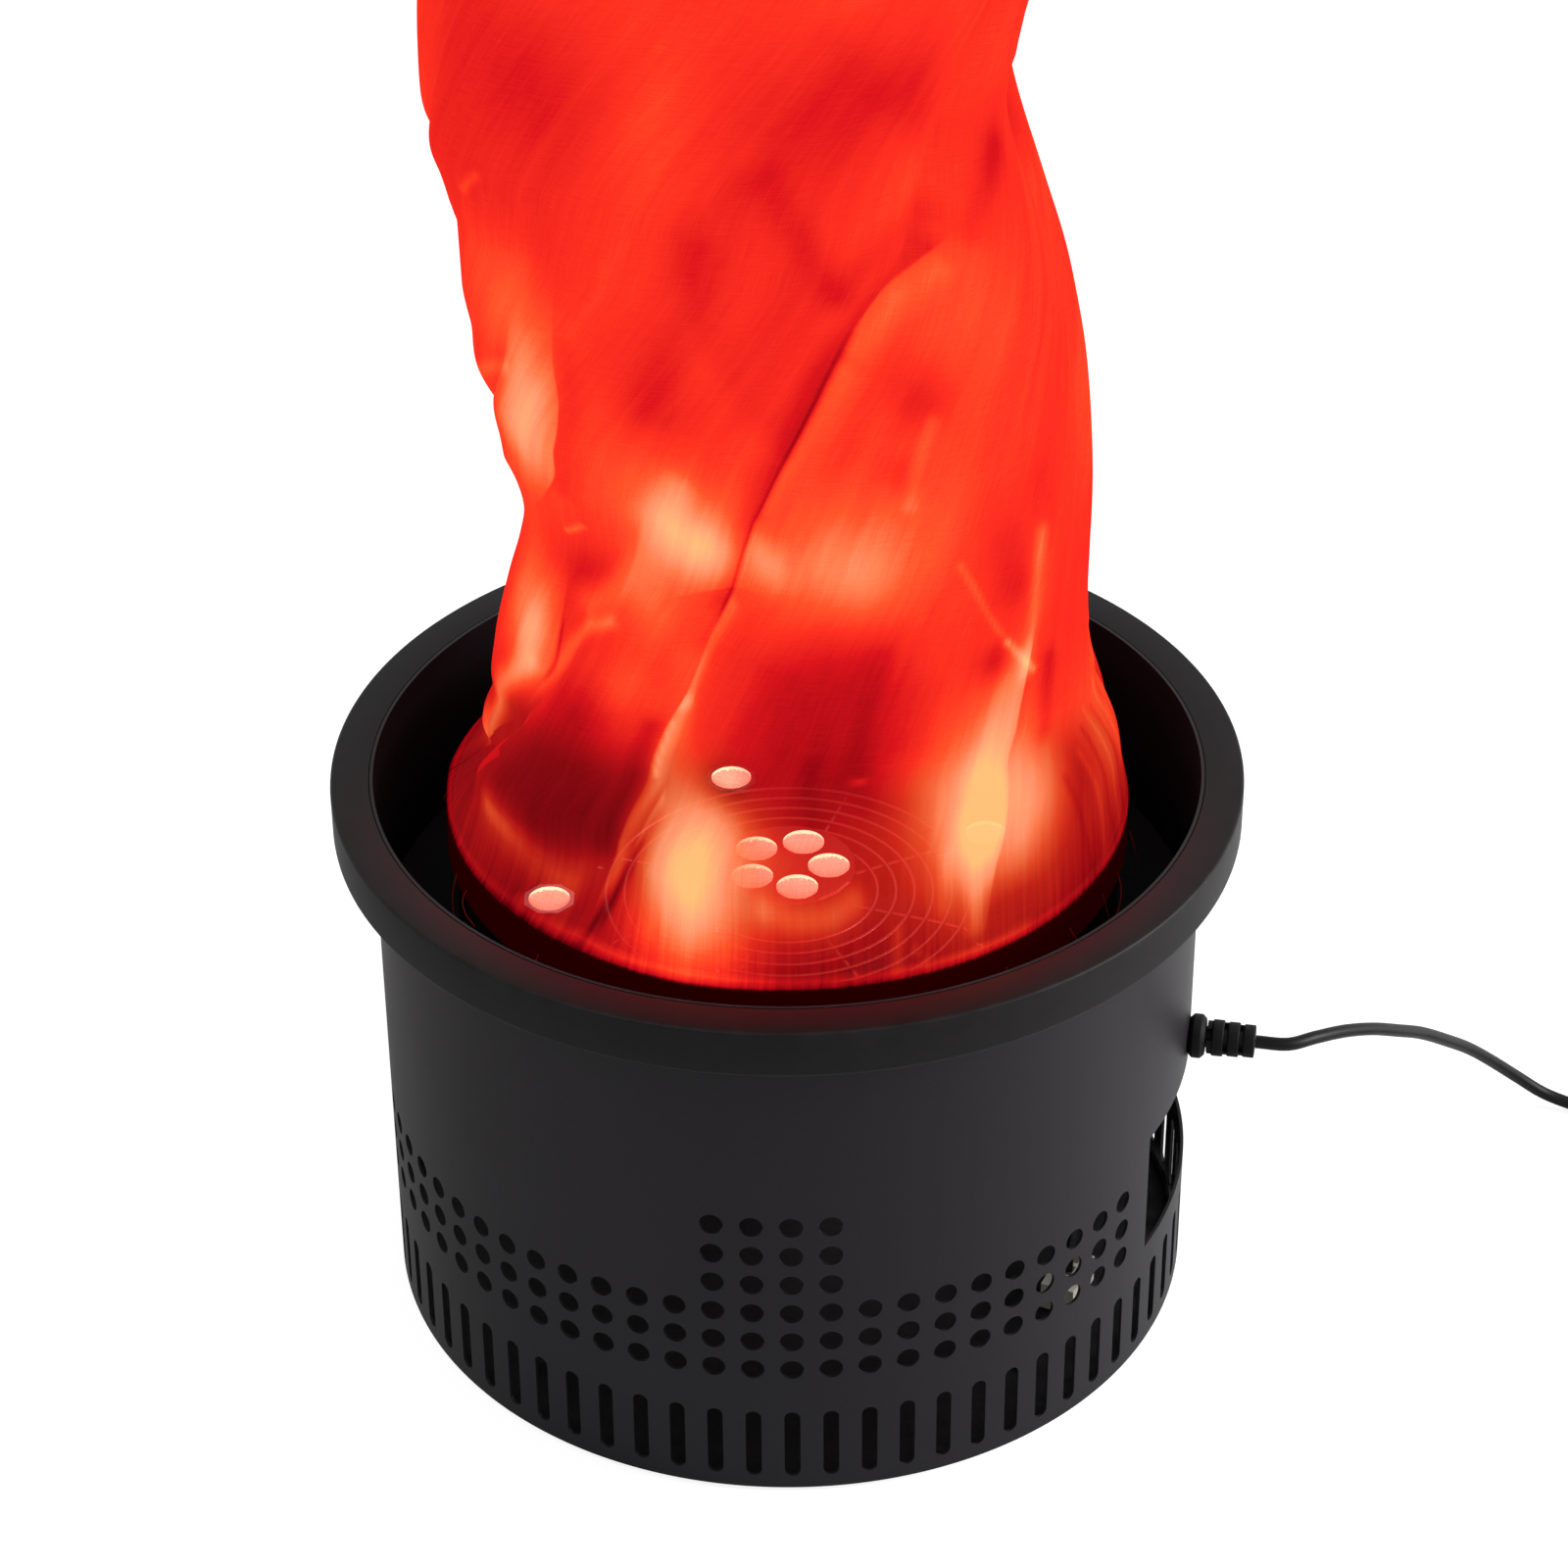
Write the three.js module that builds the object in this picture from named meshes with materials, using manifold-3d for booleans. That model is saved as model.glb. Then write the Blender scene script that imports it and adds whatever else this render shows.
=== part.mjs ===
// Silk flame effect light: a perforated drum housing with a rim, a fan under a wire guard, ten lamps
// and a flame of silk that the fan's air holds up.
// Millimetres and degrees. The origin is on the floor under the fan's axis, +Z is up and -Y is the
// front. Azimuths run from the front towards +X.
import * as THREE from 'three';
import { mergeGeometries, mergeVertices } from 'three/addons/utils/BufferGeometryUtils.js';
import Module from 'manifold-3d';

const wasm = await Module();
wasm.setup();

// Clearances that the whole part shares
const FIT = 0.3;
const OVERRUN = 2;
const WELD = 0.4;
const FLATNESS = 0.002;
const MERGE = 0.0001;

// Housing, the sheet drum with one column of holes and one slot on each facet
const housing = { columns: 68, radius: 196.5, sheet: 1.5, height: 281, stand: 3 };
const perforation = { radius: 5.5, sides: 6, firstRow: 73.1, rowPitch: 16.9 };
const perforationRows = { around: 3, raised: 3, raisedFrom: -2, raisedTo: 1 };
const slot = { width: 7.5, bottom: 7.3, top: 47, endSides: 2 };
const sideWindow = { halfAngle: 19.4, bottom: 62.4, top: 129, holeMargin: 1.8 };
const rim = { width: 18.5, height: 24, bevel: 1.4 };
const wallTop = housing.stand + housing.height;
const wallInside = housing.radius - housing.sheet;
const columnAngle = 360 / housing.columns;
const rimRadius = housing.radius + rim.width;

// Floor plate and its push-in rubber feet
const floorPlate = { sheet: 1.5, lip: 5.5 };
const foot = { count: 4, azimuth: 45, inset: 36.5, radius: 11, neck: 4, head: 6, headHeight: 3, sides: 6 };
const floorTop = housing.stand + floorPlate.sheet;
const footCircle = housing.radius - foot.inset;

// Deck that carries the fan, the lamps and the silk collar
const deck = { drop: 87, sheet: 2, skirt: 14, fanOpening: 80 };
const deckTop = wallTop - deck.drop;
const deckUnder = deckTop - deck.sheet;

// Lamps round the fan
const lamp = {
  count: 5, azimuth: -22, circle: 116, flange: 13, flangeHeight: 1.2, barrel: 11.6, length: 26,
};

// Collar round the lamps, hook band and silk
const collar = { lampDistance: 42.4, sheet: 1.5, topDrop: 16, flange: 9, sides: 28 };
const hookBand = { thickness: 1.2, height: 20, topDrop: 1.5 };
const silk = { thickness: 1.2, hemDrop: 22, height: 1500, folds: 5, foldDepth: 0.12 };
const silkFold = { azimuth: -38, twist: 330, secondShare: 0.35, secondLag: 50 };
const collarTop = wallTop - collar.topDrop;
const collarRadius = lamp.circle + collar.lampDistance;
const hookBandRadius = collarRadius + FIT + hookBand.thickness;
const silkRadius = hookBandRadius + FIT + silk.thickness;

// Each row of the silk's outline is taken at one share of its rise over the collar. The left, right,
// front and back of the cloth are shares of the hem's radius, and the last is the folds' growth.
const silkOutlineShares = [
  [0, -1, 1, -1, 1, 0],
  [0.015, -0.91, 0.98, -0.82, 0.89, 0.15],
  [0.05, -0.85, 0.91, -0.63, 0.7, 0.5],
  [0.118, -0.75, 0.87, -0.61, 0.66, 1],
  [0.185, -0.84, 0.84, -0.63, 0.69, 1],
  [0.269, -0.94, 0.68, -0.63, 0.67, 1],
  [0.321, -0.95, 0.64, -0.62, 0.64, 1],
  [0.383, -0.87, 0.69, -0.62, 0.61, 1],
  [0.448, -0.62, 0.87, -0.64, 0.55, 1],
  [0.521, -0.38, 1, -0.67, 0.47, 1],
  [0.63, -0.21, 0.87, -0.62, 0.37, 1],
  [0.74, -0.25, 0.59, -0.48, 0.3, 1],
  [0.85, -0.29, 0.32, -0.31, 0.21, 0.8],
  [0.93, -0.26, 0.12, -0.17, 0.16, 0.5],
];
const silkTipShares = [-0.13, 0.04];

// Axial fan that hangs under the deck
const fan = { radius: 86, wall: 3.4, depth: 51, lip: 92, lipHeight: 4, sides: 24 };
const fanHub = { radius: 33, plate: 4, legWidth: 9, legDepth: 5, legs: 4, legAzimuth: 20 };
const bearing = { radius: 8, bore: 3.4, height: 7, tubeWall: 2, sides: 8 };
const rotor = { hub: 34, wall: 2.5, crown: 3, shaft: 3, tipGap: 2.2, rootClear: 3, headroom: 4, sides: 14 };
const blade = { count: 7, chord: 44, rootPitch: 42, tipPitch: 24, thickness: 3, tipThickness: 1.8 };
const bladeStations = 3;
const bladeOutlineShares = [
  [-0.5, 0, 0], [-0.15, 0.1, 1], [0.25, 0.08, 1], [0.5, 0, 0], [0.25, 0.08, -1], [-0.15, 0.1, -1],
];
const stator = { gap: 2.2, height: 18, bore: 1.4, sides: 12 };
const fanTop = deckUnder - FIT;
const fanBottom = fanTop - fan.depth;
const fanBore = fan.radius - fan.wall;
const hubPlateTop = fanBottom + fanHub.plate;

// Wire guard over the fan and the lamp cluster on it
const guard = { wire: 1.1, plane: 10, firstRing: 43.3, ringPitch: 8.9, rings: 6, sides: 18, wireSides: 4 };
const guardSpoke = { count: 8, azimuth: -20, inner: 24, foot: 7, bend: 4 };
const guardScrew = { count: 4, azimuth: 25, head: 3.4, headHeight: 2, sides: 6 };
const guardPlane = deckTop + guard.plane;
const guardEdge = guard.firstRing + (guard.rings - 1) * guard.ringPitch;
const ledBoard = { radius: 8, thickness: 1.6, sides: 6 };
const lens = { radius: 10, height: 5, dome: 1.4, sides: 8, proud: 1 };
const lensShares = { base: 0.8, crown: 0.6, crownDrop: 0.35 };
const cluster = { radius: 33.3, height: 16, body: 28.5, bodyHeight: 5, sheet: 1.5, bevel: 1, sides: 20 };
const clusterLamp = { count: 5, azimuth: 13, circle: 19.8 };
const spokePlane = guardPlane - guard.wire + WELD / 2;
const clusterBottom = spokePlane + guard.wire + FIT;
const clusterTop = clusterBottom + cluster.height;
const lensDepth = lens.height + lens.dome;
const clusterBoardTop = clusterTop + lens.proud - lensDepth - FIT;
const clusterBoardBottom = clusterBoardTop - ledBoard.thickness;

// Cooling fins and seats of the lamps
const lampFin = { radius: 15.5, height: 9 };
const lensSeat = lens.height + ledBoard.thickness + FIT + FIT;

// Power supply, terminal block and their lead inside the housing
const supply = { length: 118, width: 68, height: 36, lug: 14, lugSheet: 2, azimuth: -140, inset: 104.5 };
const supplyScrew = { head: 4, headHeight: 2.4, sides: 6 };
const terminal = { length: 30, width: 17, height: 15, azimuth: 66, inset: 46.5 };
const supplyCircle = housing.radius - supply.inset;
const terminalCircle = housing.radius - terminal.inset;
const innerLead = { radius: 2.8, sides: 6, steps: 12, sag: 26, swingAngle: 5 };

// Gland, strain relief, cord, coil and plug
const cord = { radius: 3.25, sides: 8, steps: 26 };
const gland = { column: 15, drop: 49, neck: 6.5, nut: 9.6, nutHeight: 5, nutSides: 6, sides: 8 };
const relief = { collar: 10.8, collarHeight: 8, bevel: 2, waist: 5.2, waistHeight: 3.2, tip: 8, root: 8.9 };
const reliefRib = { count: 3, height: 5.6, gap: 1.9 };
const coil = { centre: [460, 18], turns: 2.5, inner: 26, gap: 0.5, azimuth: 55, stepsPerTurn: 24, sides: 6 };
const coilEnd = { entry: 6.5, exit: 21 };
const plug = { neckStart: 4.6, neckEnd: 7, neckLength: 30, length: 36, width: 26, bevel: 3, sides: 10 };
const pin = { width: 6.3, thickness: 1.5, length: 17, spacing: 12.7, earth: 2.4, earthDrop: 5, sides: 8 };
const glandAzimuth = gland.column * columnAngle;
const glandHeight = deckUnder - gland.drop;
const coilPitch = 2 * cord.radius + coil.gap;
const coilTop = cord.radius + coilPitch;

// Route of the free cord from the strain relief down to the coil
const cordRoute = [
  [240.2, -43.9, 145.7], [254, -36.4, 143.9], [270, -22.4, 137], [286.6, -6.2, 126], [302, 10.8, 112],
  [317.6, 29.7, 96], [334.2, 48.5, 77], [350.8, 67, 57], [366.5, 80.5, 38], [382.5, 89.5, 20.5],
  [397, 91, 9], [411, 87.5, 4.6], [426, 81.5, 3.5], [442, 75.2, 3.3], [458, 69.6, 3.3],
  [470, 65.6, 3.3],
];

const radians = THREE.MathUtils.degToRad;

// A point at a radius, azimuth and height
function polar(radius, azimuth, height = 0) {
  const angle = radians(azimuth);
  return [radius * Math.sin(angle), -radius * Math.cos(angle), height];
}

// Merge a geometry's vertices, drop its empty triangles and point its faces outwards
function solid(geometry) {
  const plain = new THREE.BufferGeometry();
  plain.setAttribute('position', geometry.getAttribute('position').clone());
  if (geometry.index) plain.setIndex(geometry.index.clone());
  const merged = mergeVertices(plain, MERGE);
  const at = merged.getAttribute('position');
  const corner = [0, 1, 2].map(() => new THREE.Vector3());
  const kept = [];
  let volume = 0;
  for (let i = 0; i < merged.index.count; i += 3) {
    const face = [0, 1, 2].map((k) => merged.index.getX(i + k));
    if (new Set(face).size < 3) continue;
    face.forEach((vertex, k) => corner[k].fromBufferAttribute(at, vertex));
    volume += corner[0].dot(corner[1].clone().cross(corner[2]));
    kept.push(...face);
  }
  if (volume < 0) kept.reverse();
  merged.setIndex(kept);
  return merged;
}

function toManifold(geometry) {
  const body = solid(geometry);
  return new wasm.Manifold(new wasm.Mesh({
    numProp: 3,
    vertProperties: new Float32Array(body.getAttribute('position').array),
    triVerts: new Uint32Array(body.index.array),
  }));
}

// Flat faces lose the spare points that a cut leaves in them
function fromManifold(manifold) {
  const made = manifold.getMesh();
  const mesh = new wasm.Manifold(new wasm.Mesh({
    numProp: 3,
    vertProperties: made.vertProperties,
    triVerts: made.triVerts,
  })).simplify(FLATNESS).getMesh();
  const geometry = new THREE.BufferGeometry();
  geometry.setAttribute('position', new THREE.BufferAttribute(mesh.vertProperties, 3));
  geometry.setIndex(new THREE.BufferAttribute(mesh.triVerts, 1));
  return geometry;
}

// Cut away tools that lie clear of each other, all at once
function cut(body, tools) {
  const tool = mergeGeometries(tools.map((piece) => solid(piece).toNonIndexed()));
  return fromManifold(toManifold(body).subtract(toManifold(tool)));
}

function fuse(bodies) {
  return fromManifold(bodies.map(toManifold).reduce((whole, piece) => whole.add(piece)));
}

// Revolve [radius, height] points about +Z, closing a profile that doesn't start on the axis. The
// first facet faces the front, as the first edge of a polygon does.
function turned(profile, sides, phase = 180 / sides) {
  const closed = profile[0][0] === 0 ? profile : [...profile, profile[0]];
  const points = closed.map(([radius, height]) => new THREE.Vector2(radius, height));
  return new THREE.LatheGeometry(points, sides, radians(phase)).rotateX(Math.PI / 2);
}

// A profile turned with its facets, one or two columns wide, in line with the housing's
function turnedInLine(profile, columnsWide = 1) {
  return turned(profile, housing.columns / columnsWide, columnAngle / 2);
}

function prism(outline, height, bottom = 0) {
  const shape = new THREE.Shape(outline.map(([x, y]) => new THREE.Vector2(x, y)));
  const body = new THREE.ExtrudeGeometry(shape, { depth: height, bevelEnabled: false });
  return body.translate(0, 0, bottom);
}

function polygon(radius, sides, centre = [0, 0]) {
  return Array.from({ length: sides }, (_, i) => {
    const [x, y] = polar(radius, ((i + 0.5) * 360) / sides);
    return [centre[0] + x, centre[1] + y];
  });
}

function box(width, depth, height, bottom = 0) {
  return new THREE.BoxGeometry(width, depth, height).translate(0, 0, bottom + height / 2);
}

// Turn a prism that rises from the origin so that it leaves the axis through the front
function radial(geometry, start, height, azimuth) {
  return geometry.rotateX(Math.PI / 2).translate(0, -start, height).rotateZ(radians(azimuth));
}

// Sweep a round section along points and leave both ends square
function swept(points, radius, sides, steps) {
  const spots = points.map((point) => new THREE.Vector3(...point));
  const path = new THREE.CatmullRomCurve3(spots, false, 'centripetal');
  const shape = new THREE.Shape(polygon(radius, sides).map(([x, y]) => new THREE.Vector2(x, y)));
  return new THREE.ExtrudeGeometry(shape, { steps, bevelEnabled: false, extrudePath: path });
}

// Join rings of equal length into one closed skin, with a cap at each end
function skinned(rings, capStart, capEnd, crossed = () => false) {
  const count = rings[0].length;
  const vertices = rings.flat();
  const faces = [];
  for (let ring = 0; ring < rings.length - 1; ring += 1) {
    for (let i = 0; i < count; i += 1) {
      const a = ring * count + i;
      const b = ring * count + ((i + 1) % count);
      if (crossed(ring, i)) faces.push(a, b, a + count, b, b + count, a + count);
      else faces.push(a, b, b + count, a, b + count, a + count);
    }
  }
  const last = (rings.length - 1) * count;
  for (const [wanted, first, turn] of [[capStart, 0, 1], [capEnd, last, 0]]) {
    if (!wanted) continue;
    for (let i = 1; i < count - 1; i += 1) faces.push(first, first + i + turn, first + i + 1 - turn);
  }
  const geometry = new THREE.BufferGeometry();
  geometry.setAttribute('position', new THREE.Float32BufferAttribute(vertices.flat(), 3));
  geometry.setIndex(faces);
  return geometry;
}

// Housing wall with its holes, slots, side window and gland hole
function housingWall() {
  const wall = turnedInLine([
    [housing.radius, housing.stand], [housing.radius, wallTop], [wallInside, wallTop],
    [wallInside, housing.stand],
  ]);
  const start = wallInside * Math.cos(radians(columnAngle)) - OVERRUN;
  const depth = housing.radius + OVERRUN - start;
  const tools = [];
  const drill = (outline, azimuth, height) => tools.push(
    radial(prism(outline, depth), start, height, azimuth));
  for (let column = 0; column < housing.columns; column += 1) {
    const azimuth = column * columnAngle;
    drill(slotOutline(), azimuth, housing.stand + slot.bottom);
    const offset = Math.abs(azimuth - glandAzimuth);
    if (offset < sideWindow.halfAngle + sideWindow.holeMargin) continue;
    const signed = column > housing.columns / 2 ? column - housing.columns : column;
    const raised = signed >= perforationRows.raisedFrom && signed <= perforationRows.raisedTo;
    const rows = perforationRows.around + (raised ? perforationRows.raised : 0);
    for (let row = 0; row < rows; row += 1) {
      const height = housing.stand + perforation.firstRow + row * perforation.rowPitch;
      drill(polygon(perforation.radius, perforation.sides), azimuth, height);
    }
  }
  drill(polygon(gland.neck + FIT, gland.sides), glandAzimuth, glandHeight);
  tools.push(windowCutter());
  return cut(wall, tools);
}

function slotOutline() {
  const half = slot.width / 2;
  const arc = (centre, from) => Array.from({ length: slot.endSides + 1 }, (_, i) => {
    const angle = Math.PI * (from + i / slot.endSides);
    return [half * Math.cos(angle), centre + half * Math.sin(angle)];
  });
  return [...arc(slot.top - slot.bottom - half, 0), ...arc(half, 1)];
}

function windowCutter() {
  const near = wallInside - housing.sheet - OVERRUN;
  const far = (housing.radius + OVERRUN) / Math.cos(radians(sideWindow.halfAngle));
  const from = glandAzimuth - sideWindow.halfAngle;
  const to = glandAzimuth + sideWindow.halfAngle;
  const nearArc = [to, glandAzimuth, from].map((azimuth) => polar(near, azimuth));
  const outline = [polar(far, from), polar(far, to), ...nearArc];
  return prism(outline, sideWindow.top - sideWindow.bottom, housing.stand + sideWindow.bottom);
}

function rimRing() {
  const inside = housing.radius + FIT;
  return turnedInLine([
    [inside, wallTop - rim.height], [rimRadius, wallTop - rim.height],
    [rimRadius, wallTop - rim.bevel], [rimRadius - rim.bevel, wallTop], [inside, wallTop],
  ]);
}

function eachFoot(make) {
  return Array.from({ length: foot.count }, (_, i) => make(foot.azimuth + (i * 360) / foot.count, i + 1));
}

function bottomPlate() {
  const edge = wallInside - FIT;
  const lipTop = housing.stand + floorPlate.lip;
  const plate = turnedInLine([
    [0, housing.stand], [edge, housing.stand], [edge, lipTop], [edge - floorPlate.sheet, lipTop],
    [edge - floorPlate.sheet, floorTop], [0, floorTop],
  ], 2);
  const depth = floorPlate.sheet + 2 * OVERRUN;
  return cut(plate, eachFoot((azimuth) => prism(
    polygon(foot.neck + FIT, foot.sides, polar(footCircle, azimuth)), depth, housing.stand - OVERRUN)));
}

function rubberFoot() {
  const seat = housing.stand - FIT;
  const catchUnder = floorTop + FIT;
  return turned([
    [0, 0], [foot.radius - FIT, 0], [foot.radius, seat], [foot.neck, seat], [foot.neck, catchUnder],
    [foot.head, catchUnder], [foot.neck, catchUnder + foot.headHeight], [0, catchUnder + foot.headHeight],
  ], foot.sides);
}

// Deck plate with a skirt, the fan's opening and a hole for each lamp
function deckPlate() {
  const edge = wallInside - FIT;
  const skirtEnd = deckTop - deck.skirt;
  const plate = turnedInLine([
    [deck.fanOpening, deckUnder], [edge - deck.sheet, deckUnder], [edge - deck.sheet, skirtEnd],
    [edge, skirtEnd], [edge, deckTop], [deck.fanOpening, deckTop],
  ], 2);
  const depth = deck.sheet + 2 * OVERRUN;
  return cut(plate, eachLamp((azimuth) => prism(
    polygon(lamp.barrel + FIT, lens.sides, polar(lamp.circle, azimuth)), depth, deckUnder - OVERRUN)));
}

function silkCollar() {
  const base = deckTop + FIT;
  const inside = collarRadius - collar.sheet;
  return turned([
    [collarRadius, base], [collarRadius, collarTop], [inside, collarTop],
    [inside, base + collar.sheet], [inside - collar.flange, base + collar.sheet],
    [inside - collar.flange, base],
  ], collar.sides);
}

function hookLoopBand() {
  const top = collarTop - hookBand.topDrop;
  const inside = collarRadius + FIT;
  return turned([
    [inside, top - hookBand.height], [hookBandRadius, top - hookBand.height], [hookBandRadius, top],
    [inside, top],
  ], collar.sides);
}

// One point of the silk's outer face, at an azimuth of one row of its outline
function silkPoint(row, azimuth) {
  const [rise, left, right, front, back, growth] = row;
  const phase = azimuth - silkFold.azimuth - silkFold.twist * rise;
  const main = 0.5 - 0.5 * Math.cos(radians(silk.folds * phase));
  const second = silkFold.secondShare * Math.sin(radians(2 * phase + silkFold.secondLag));
  const waist = 1 - silk.foldDepth * growth * (1 - main + second);
  const [x, y] = polar(waist, azimuth);
  return new THREE.Vector3(
    (silkRadius * (left + right + x * (right - left))) / 2,
    (silkRadius * (front + back + y * (back - front))) / 2,
    collarTop + FIT + rise * (silk.height - collarTop - FIT),
  );
}

// Silk flame: an outer skin and an inner one a thickness inside it, open at the hem
function silkFlame() {
  const azimuths = Array.from({ length: collar.sides }, (_, i) => ((i + 0.5) * 360) / collar.sides);
  const hemHeight = collarTop - silk.hemDrop;
  const hem = azimuths.map((azimuth) => new THREE.Vector3(...polar(silkRadius, azimuth, hemHeight)));
  const rows = silkOutlineShares.map((row) => azimuths.map((azimuth) => silkPoint(row, azimuth)));
  const outer = [hem, ...rows];
  const [tipX, tipY] = silkTipShares;
  const apex = new THREE.Vector3(silkRadius * tipX, silkRadius * tipY, silk.height);
  const sweep = (list, i) => list[(i + list.length) % list.length];
  const inner = outer.map((ring, level) => ring.map((point, i) => {
    const along = sweep(ring, i + 1).clone().sub(sweep(ring, i - 1));
    const above = level + 1 < outer.length ? outer[level + 1][i] : apex;
    const rise = level > 1 ? above.clone().sub(outer[level - 1][i]) : new THREE.Vector3(0, 0, 1);
    return point.clone().addScaledVector(along.cross(rise).normalize(), -silk.thickness);
  }));
  const outerTip = azimuths.map(() => apex);
  const innerApex = apex.clone().setZ(apex.z - silk.thickness * 2);
  const innerTip = azimuths.map(() => innerApex);
  const rings = [innerTip, ...inner.toReversed(), ...outer, outerTip];
  const within = (ring) => ring < inner.length;
  return skinned(rings.map((ring) => ring.map((point) => point.toArray())), false, false, within);
}

// Fan frame: a duct ring with a lip, four legs and the hub plate with its bearing tube
function fanFrame() {
  const ring = turned([
    [fanBore, fanBottom], [fan.radius, fanBottom], [fan.radius, fanTop - fan.lipHeight],
    [fan.lip, fanTop - fan.lipHeight], [fan.lip, fanTop], [fanBore, fanTop],
  ], fan.sides);
  const tubeBore = bearing.radius + FIT;
  const tubeTop = hubPlateTop + 2 * bearing.height + stator.height / 2;
  const hub = turned([
    [0, fanBottom], [fanHub.radius, fanBottom], [fanHub.radius, hubPlateTop],
    [tubeBore + bearing.tubeWall, hubPlateTop], [tubeBore + bearing.tubeWall, tubeTop],
    [tubeBore, tubeTop], [tubeBore, hubPlateTop], [0, hubPlateTop],
  ], rotor.sides);
  const legRoot = fanHub.radius - OVERRUN;
  const reach = fanBore + fan.wall / 2 - legRoot;
  const leg = box(fanHub.legWidth, reach, fanHub.legDepth, fanBottom).translate(0, -legRoot - reach / 2, 0);
  const legs = Array.from({ length: fanHub.legs }, (_, i) => leg.clone()
    .rotateZ(radians(fanHub.legAzimuth + (i * 360) / fanHub.legs)));
  const bore = turned([
    [0, hubPlateTop], [tubeBore, hubPlateTop], [tubeBore, tubeTop + OVERRUN], [0, tubeTop + OVERRUN],
  ], rotor.sides);
  return cut(fuse([ring, hub, ...legs]), [bore]);
}

// Rotor: a cup over the motor, its shaft and the blades
function fanRotor() {
  const crownTop = fanTop - rotor.headroom;
  const crownUnder = crownTop - rotor.crown;
  const skirtEnd = hubPlateTop + rotor.rootClear;
  const shaftEnd = hubPlateTop + FIT;
  const hub = turned([
    [0, shaftEnd], [rotor.shaft, shaftEnd], [rotor.shaft, crownUnder], [rotor.hub - rotor.wall, crownUnder],
    [rotor.hub - rotor.wall, skirtEnd], [rotor.hub, skirtEnd], [rotor.hub, crownTop - rotor.crown / 2],
    [rotor.hub - rotor.crown / 2, crownTop], [0, crownTop],
  ], rotor.sides);
  const middle = (skirtEnd + crownTop) / 2;
  const blades = Array.from({ length: blade.count }, (_, i) => fanBlade()
    .translate(0, 0, middle).rotateZ(radians((i * 360) / blade.count)));
  const core = rotor.hub - rotor.wall / 2;
  const cup = turned([[0, fanBottom], [core, fanBottom], [core, fanTop], [0, fanTop]], rotor.sides);
  return fuse([hub, cut(fuse(blades), [cup])]);
}

// Blade from inside the cup's wall to the tip, twisted and cambered, in sections across the radius
function fanBlade() {
  const root = rotor.hub - rotor.wall;
  const tip = fanBore - rotor.tipGap;
  const rings = Array.from({ length: bladeStations }, (_, i) => {
    const share = i / (bladeStations - 1);
    const radius = root + (tip - root) * share;
    const pitch = radians(blade.rootPitch + (blade.tipPitch - blade.rootPitch) * share);
    const half = (blade.thickness + (blade.tipThickness - blade.thickness) * share) / 2;
    return bladeOutlineShares.map(([along, camber, side]) => {
      const run = blade.chord * along;
      const lift = blade.chord * camber + side * half;
      const swing = (run * Math.cos(pitch) - lift * Math.sin(pitch)) / radius;
      const height = run * Math.sin(pitch) + lift * Math.cos(pitch);
      return polar(radius, THREE.MathUtils.radToDeg(swing), height);
    });
  });
  const under = (_, i) => i >= bladeOutlineShares.length / 2;
  return skinned(rings, true, true, under);
}

function motorStator() {
  const inside = bearing.radius + FIT + bearing.tubeWall + stator.bore;
  const outside = rotor.hub - rotor.wall - stator.gap;
  const bottom = hubPlateTop + FIT;
  return turned([
    [inside, bottom], [outside, bottom], [outside, bottom + stator.height], [inside, bottom + stator.height],
  ], stator.sides);
}

function motorBearing(bottom) {
  return turned([
    [bearing.bore, bottom], [bearing.radius, bottom], [bearing.radius, bottom + bearing.height],
    [bearing.bore, bottom + bearing.height],
  ], bearing.sides);
}

// Guard: rings of wire welded on spokes, each spoke bent down to a foot on the deck
function fanGuard() {
  const section = polygon(guard.wire, guard.wireSides);
  const rings = Array.from({ length: guard.rings }, (_, i) => {
    const radius = guard.firstRing + i * guard.ringPitch;
    const placed = section.map(([x, y]) => [radius + x, guardPlane + y + guard.wire - WELD / 2]);
    return turned(placed, guard.sides);
  });
  const low = deckTop + FIT + guard.wire;
  const feet = Array.from({ length: guardSpoke.count }, (_, i) => {
    const azimuth = guardSpoke.azimuth + (i * 360) / guardSpoke.count;
    const elbow = guardEdge + guardSpoke.bend;
    const points = [
      polar(guardSpoke.inner, azimuth, spokePlane), polar(guardEdge, azimuth, spokePlane),
      polar(elbow, azimuth, spokePlane - guardSpoke.bend / 2),
      polar(elbow + guardSpoke.bend / 2, azimuth, low + guardSpoke.bend / 4),
      polar(elbow + guardSpoke.foot, azimuth, low),
    ];
    return bentWire(points, azimuth);
  });
  return fuse([...rings, ...feet]);
}

// A bent wire of square section, with a mitre at each bend, in the upright plane at an azimuth
function bentWire(points, azimuth) {
  const [sideX, sideY] = polar(guard.wire, azimuth + 90);
  const spots = points.map((point) => new THREE.Vector3(...point));
  const side = new THREE.Vector3(sideX, sideY, 0);
  const rings = spots.map((spot, i) => {
    const ahead = spots[Math.min(i + 1, spots.length - 1)];
    const behind = spots[Math.max(i - 1, 0)];
    const lift = side.clone().cross(ahead.clone().sub(behind)).setLength(guard.wire);
    return [spot.clone().add(side), spot.clone().add(lift), spot.clone().sub(side), spot.clone().sub(lift)];
  });
  return skinned(rings.map((ring) => ring.map((point) => point.toArray())), true, true);
}

// Pan head screw that stands on a height at the origin
function panHead(screw, bottom) {
  return turned([
    [0, bottom], [screw.head, bottom], [screw.head, bottom + screw.headHeight / 2],
    [screw.head / 2, bottom + screw.headHeight], [0, bottom + screw.headHeight],
  ], screw.sides);
}

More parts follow.
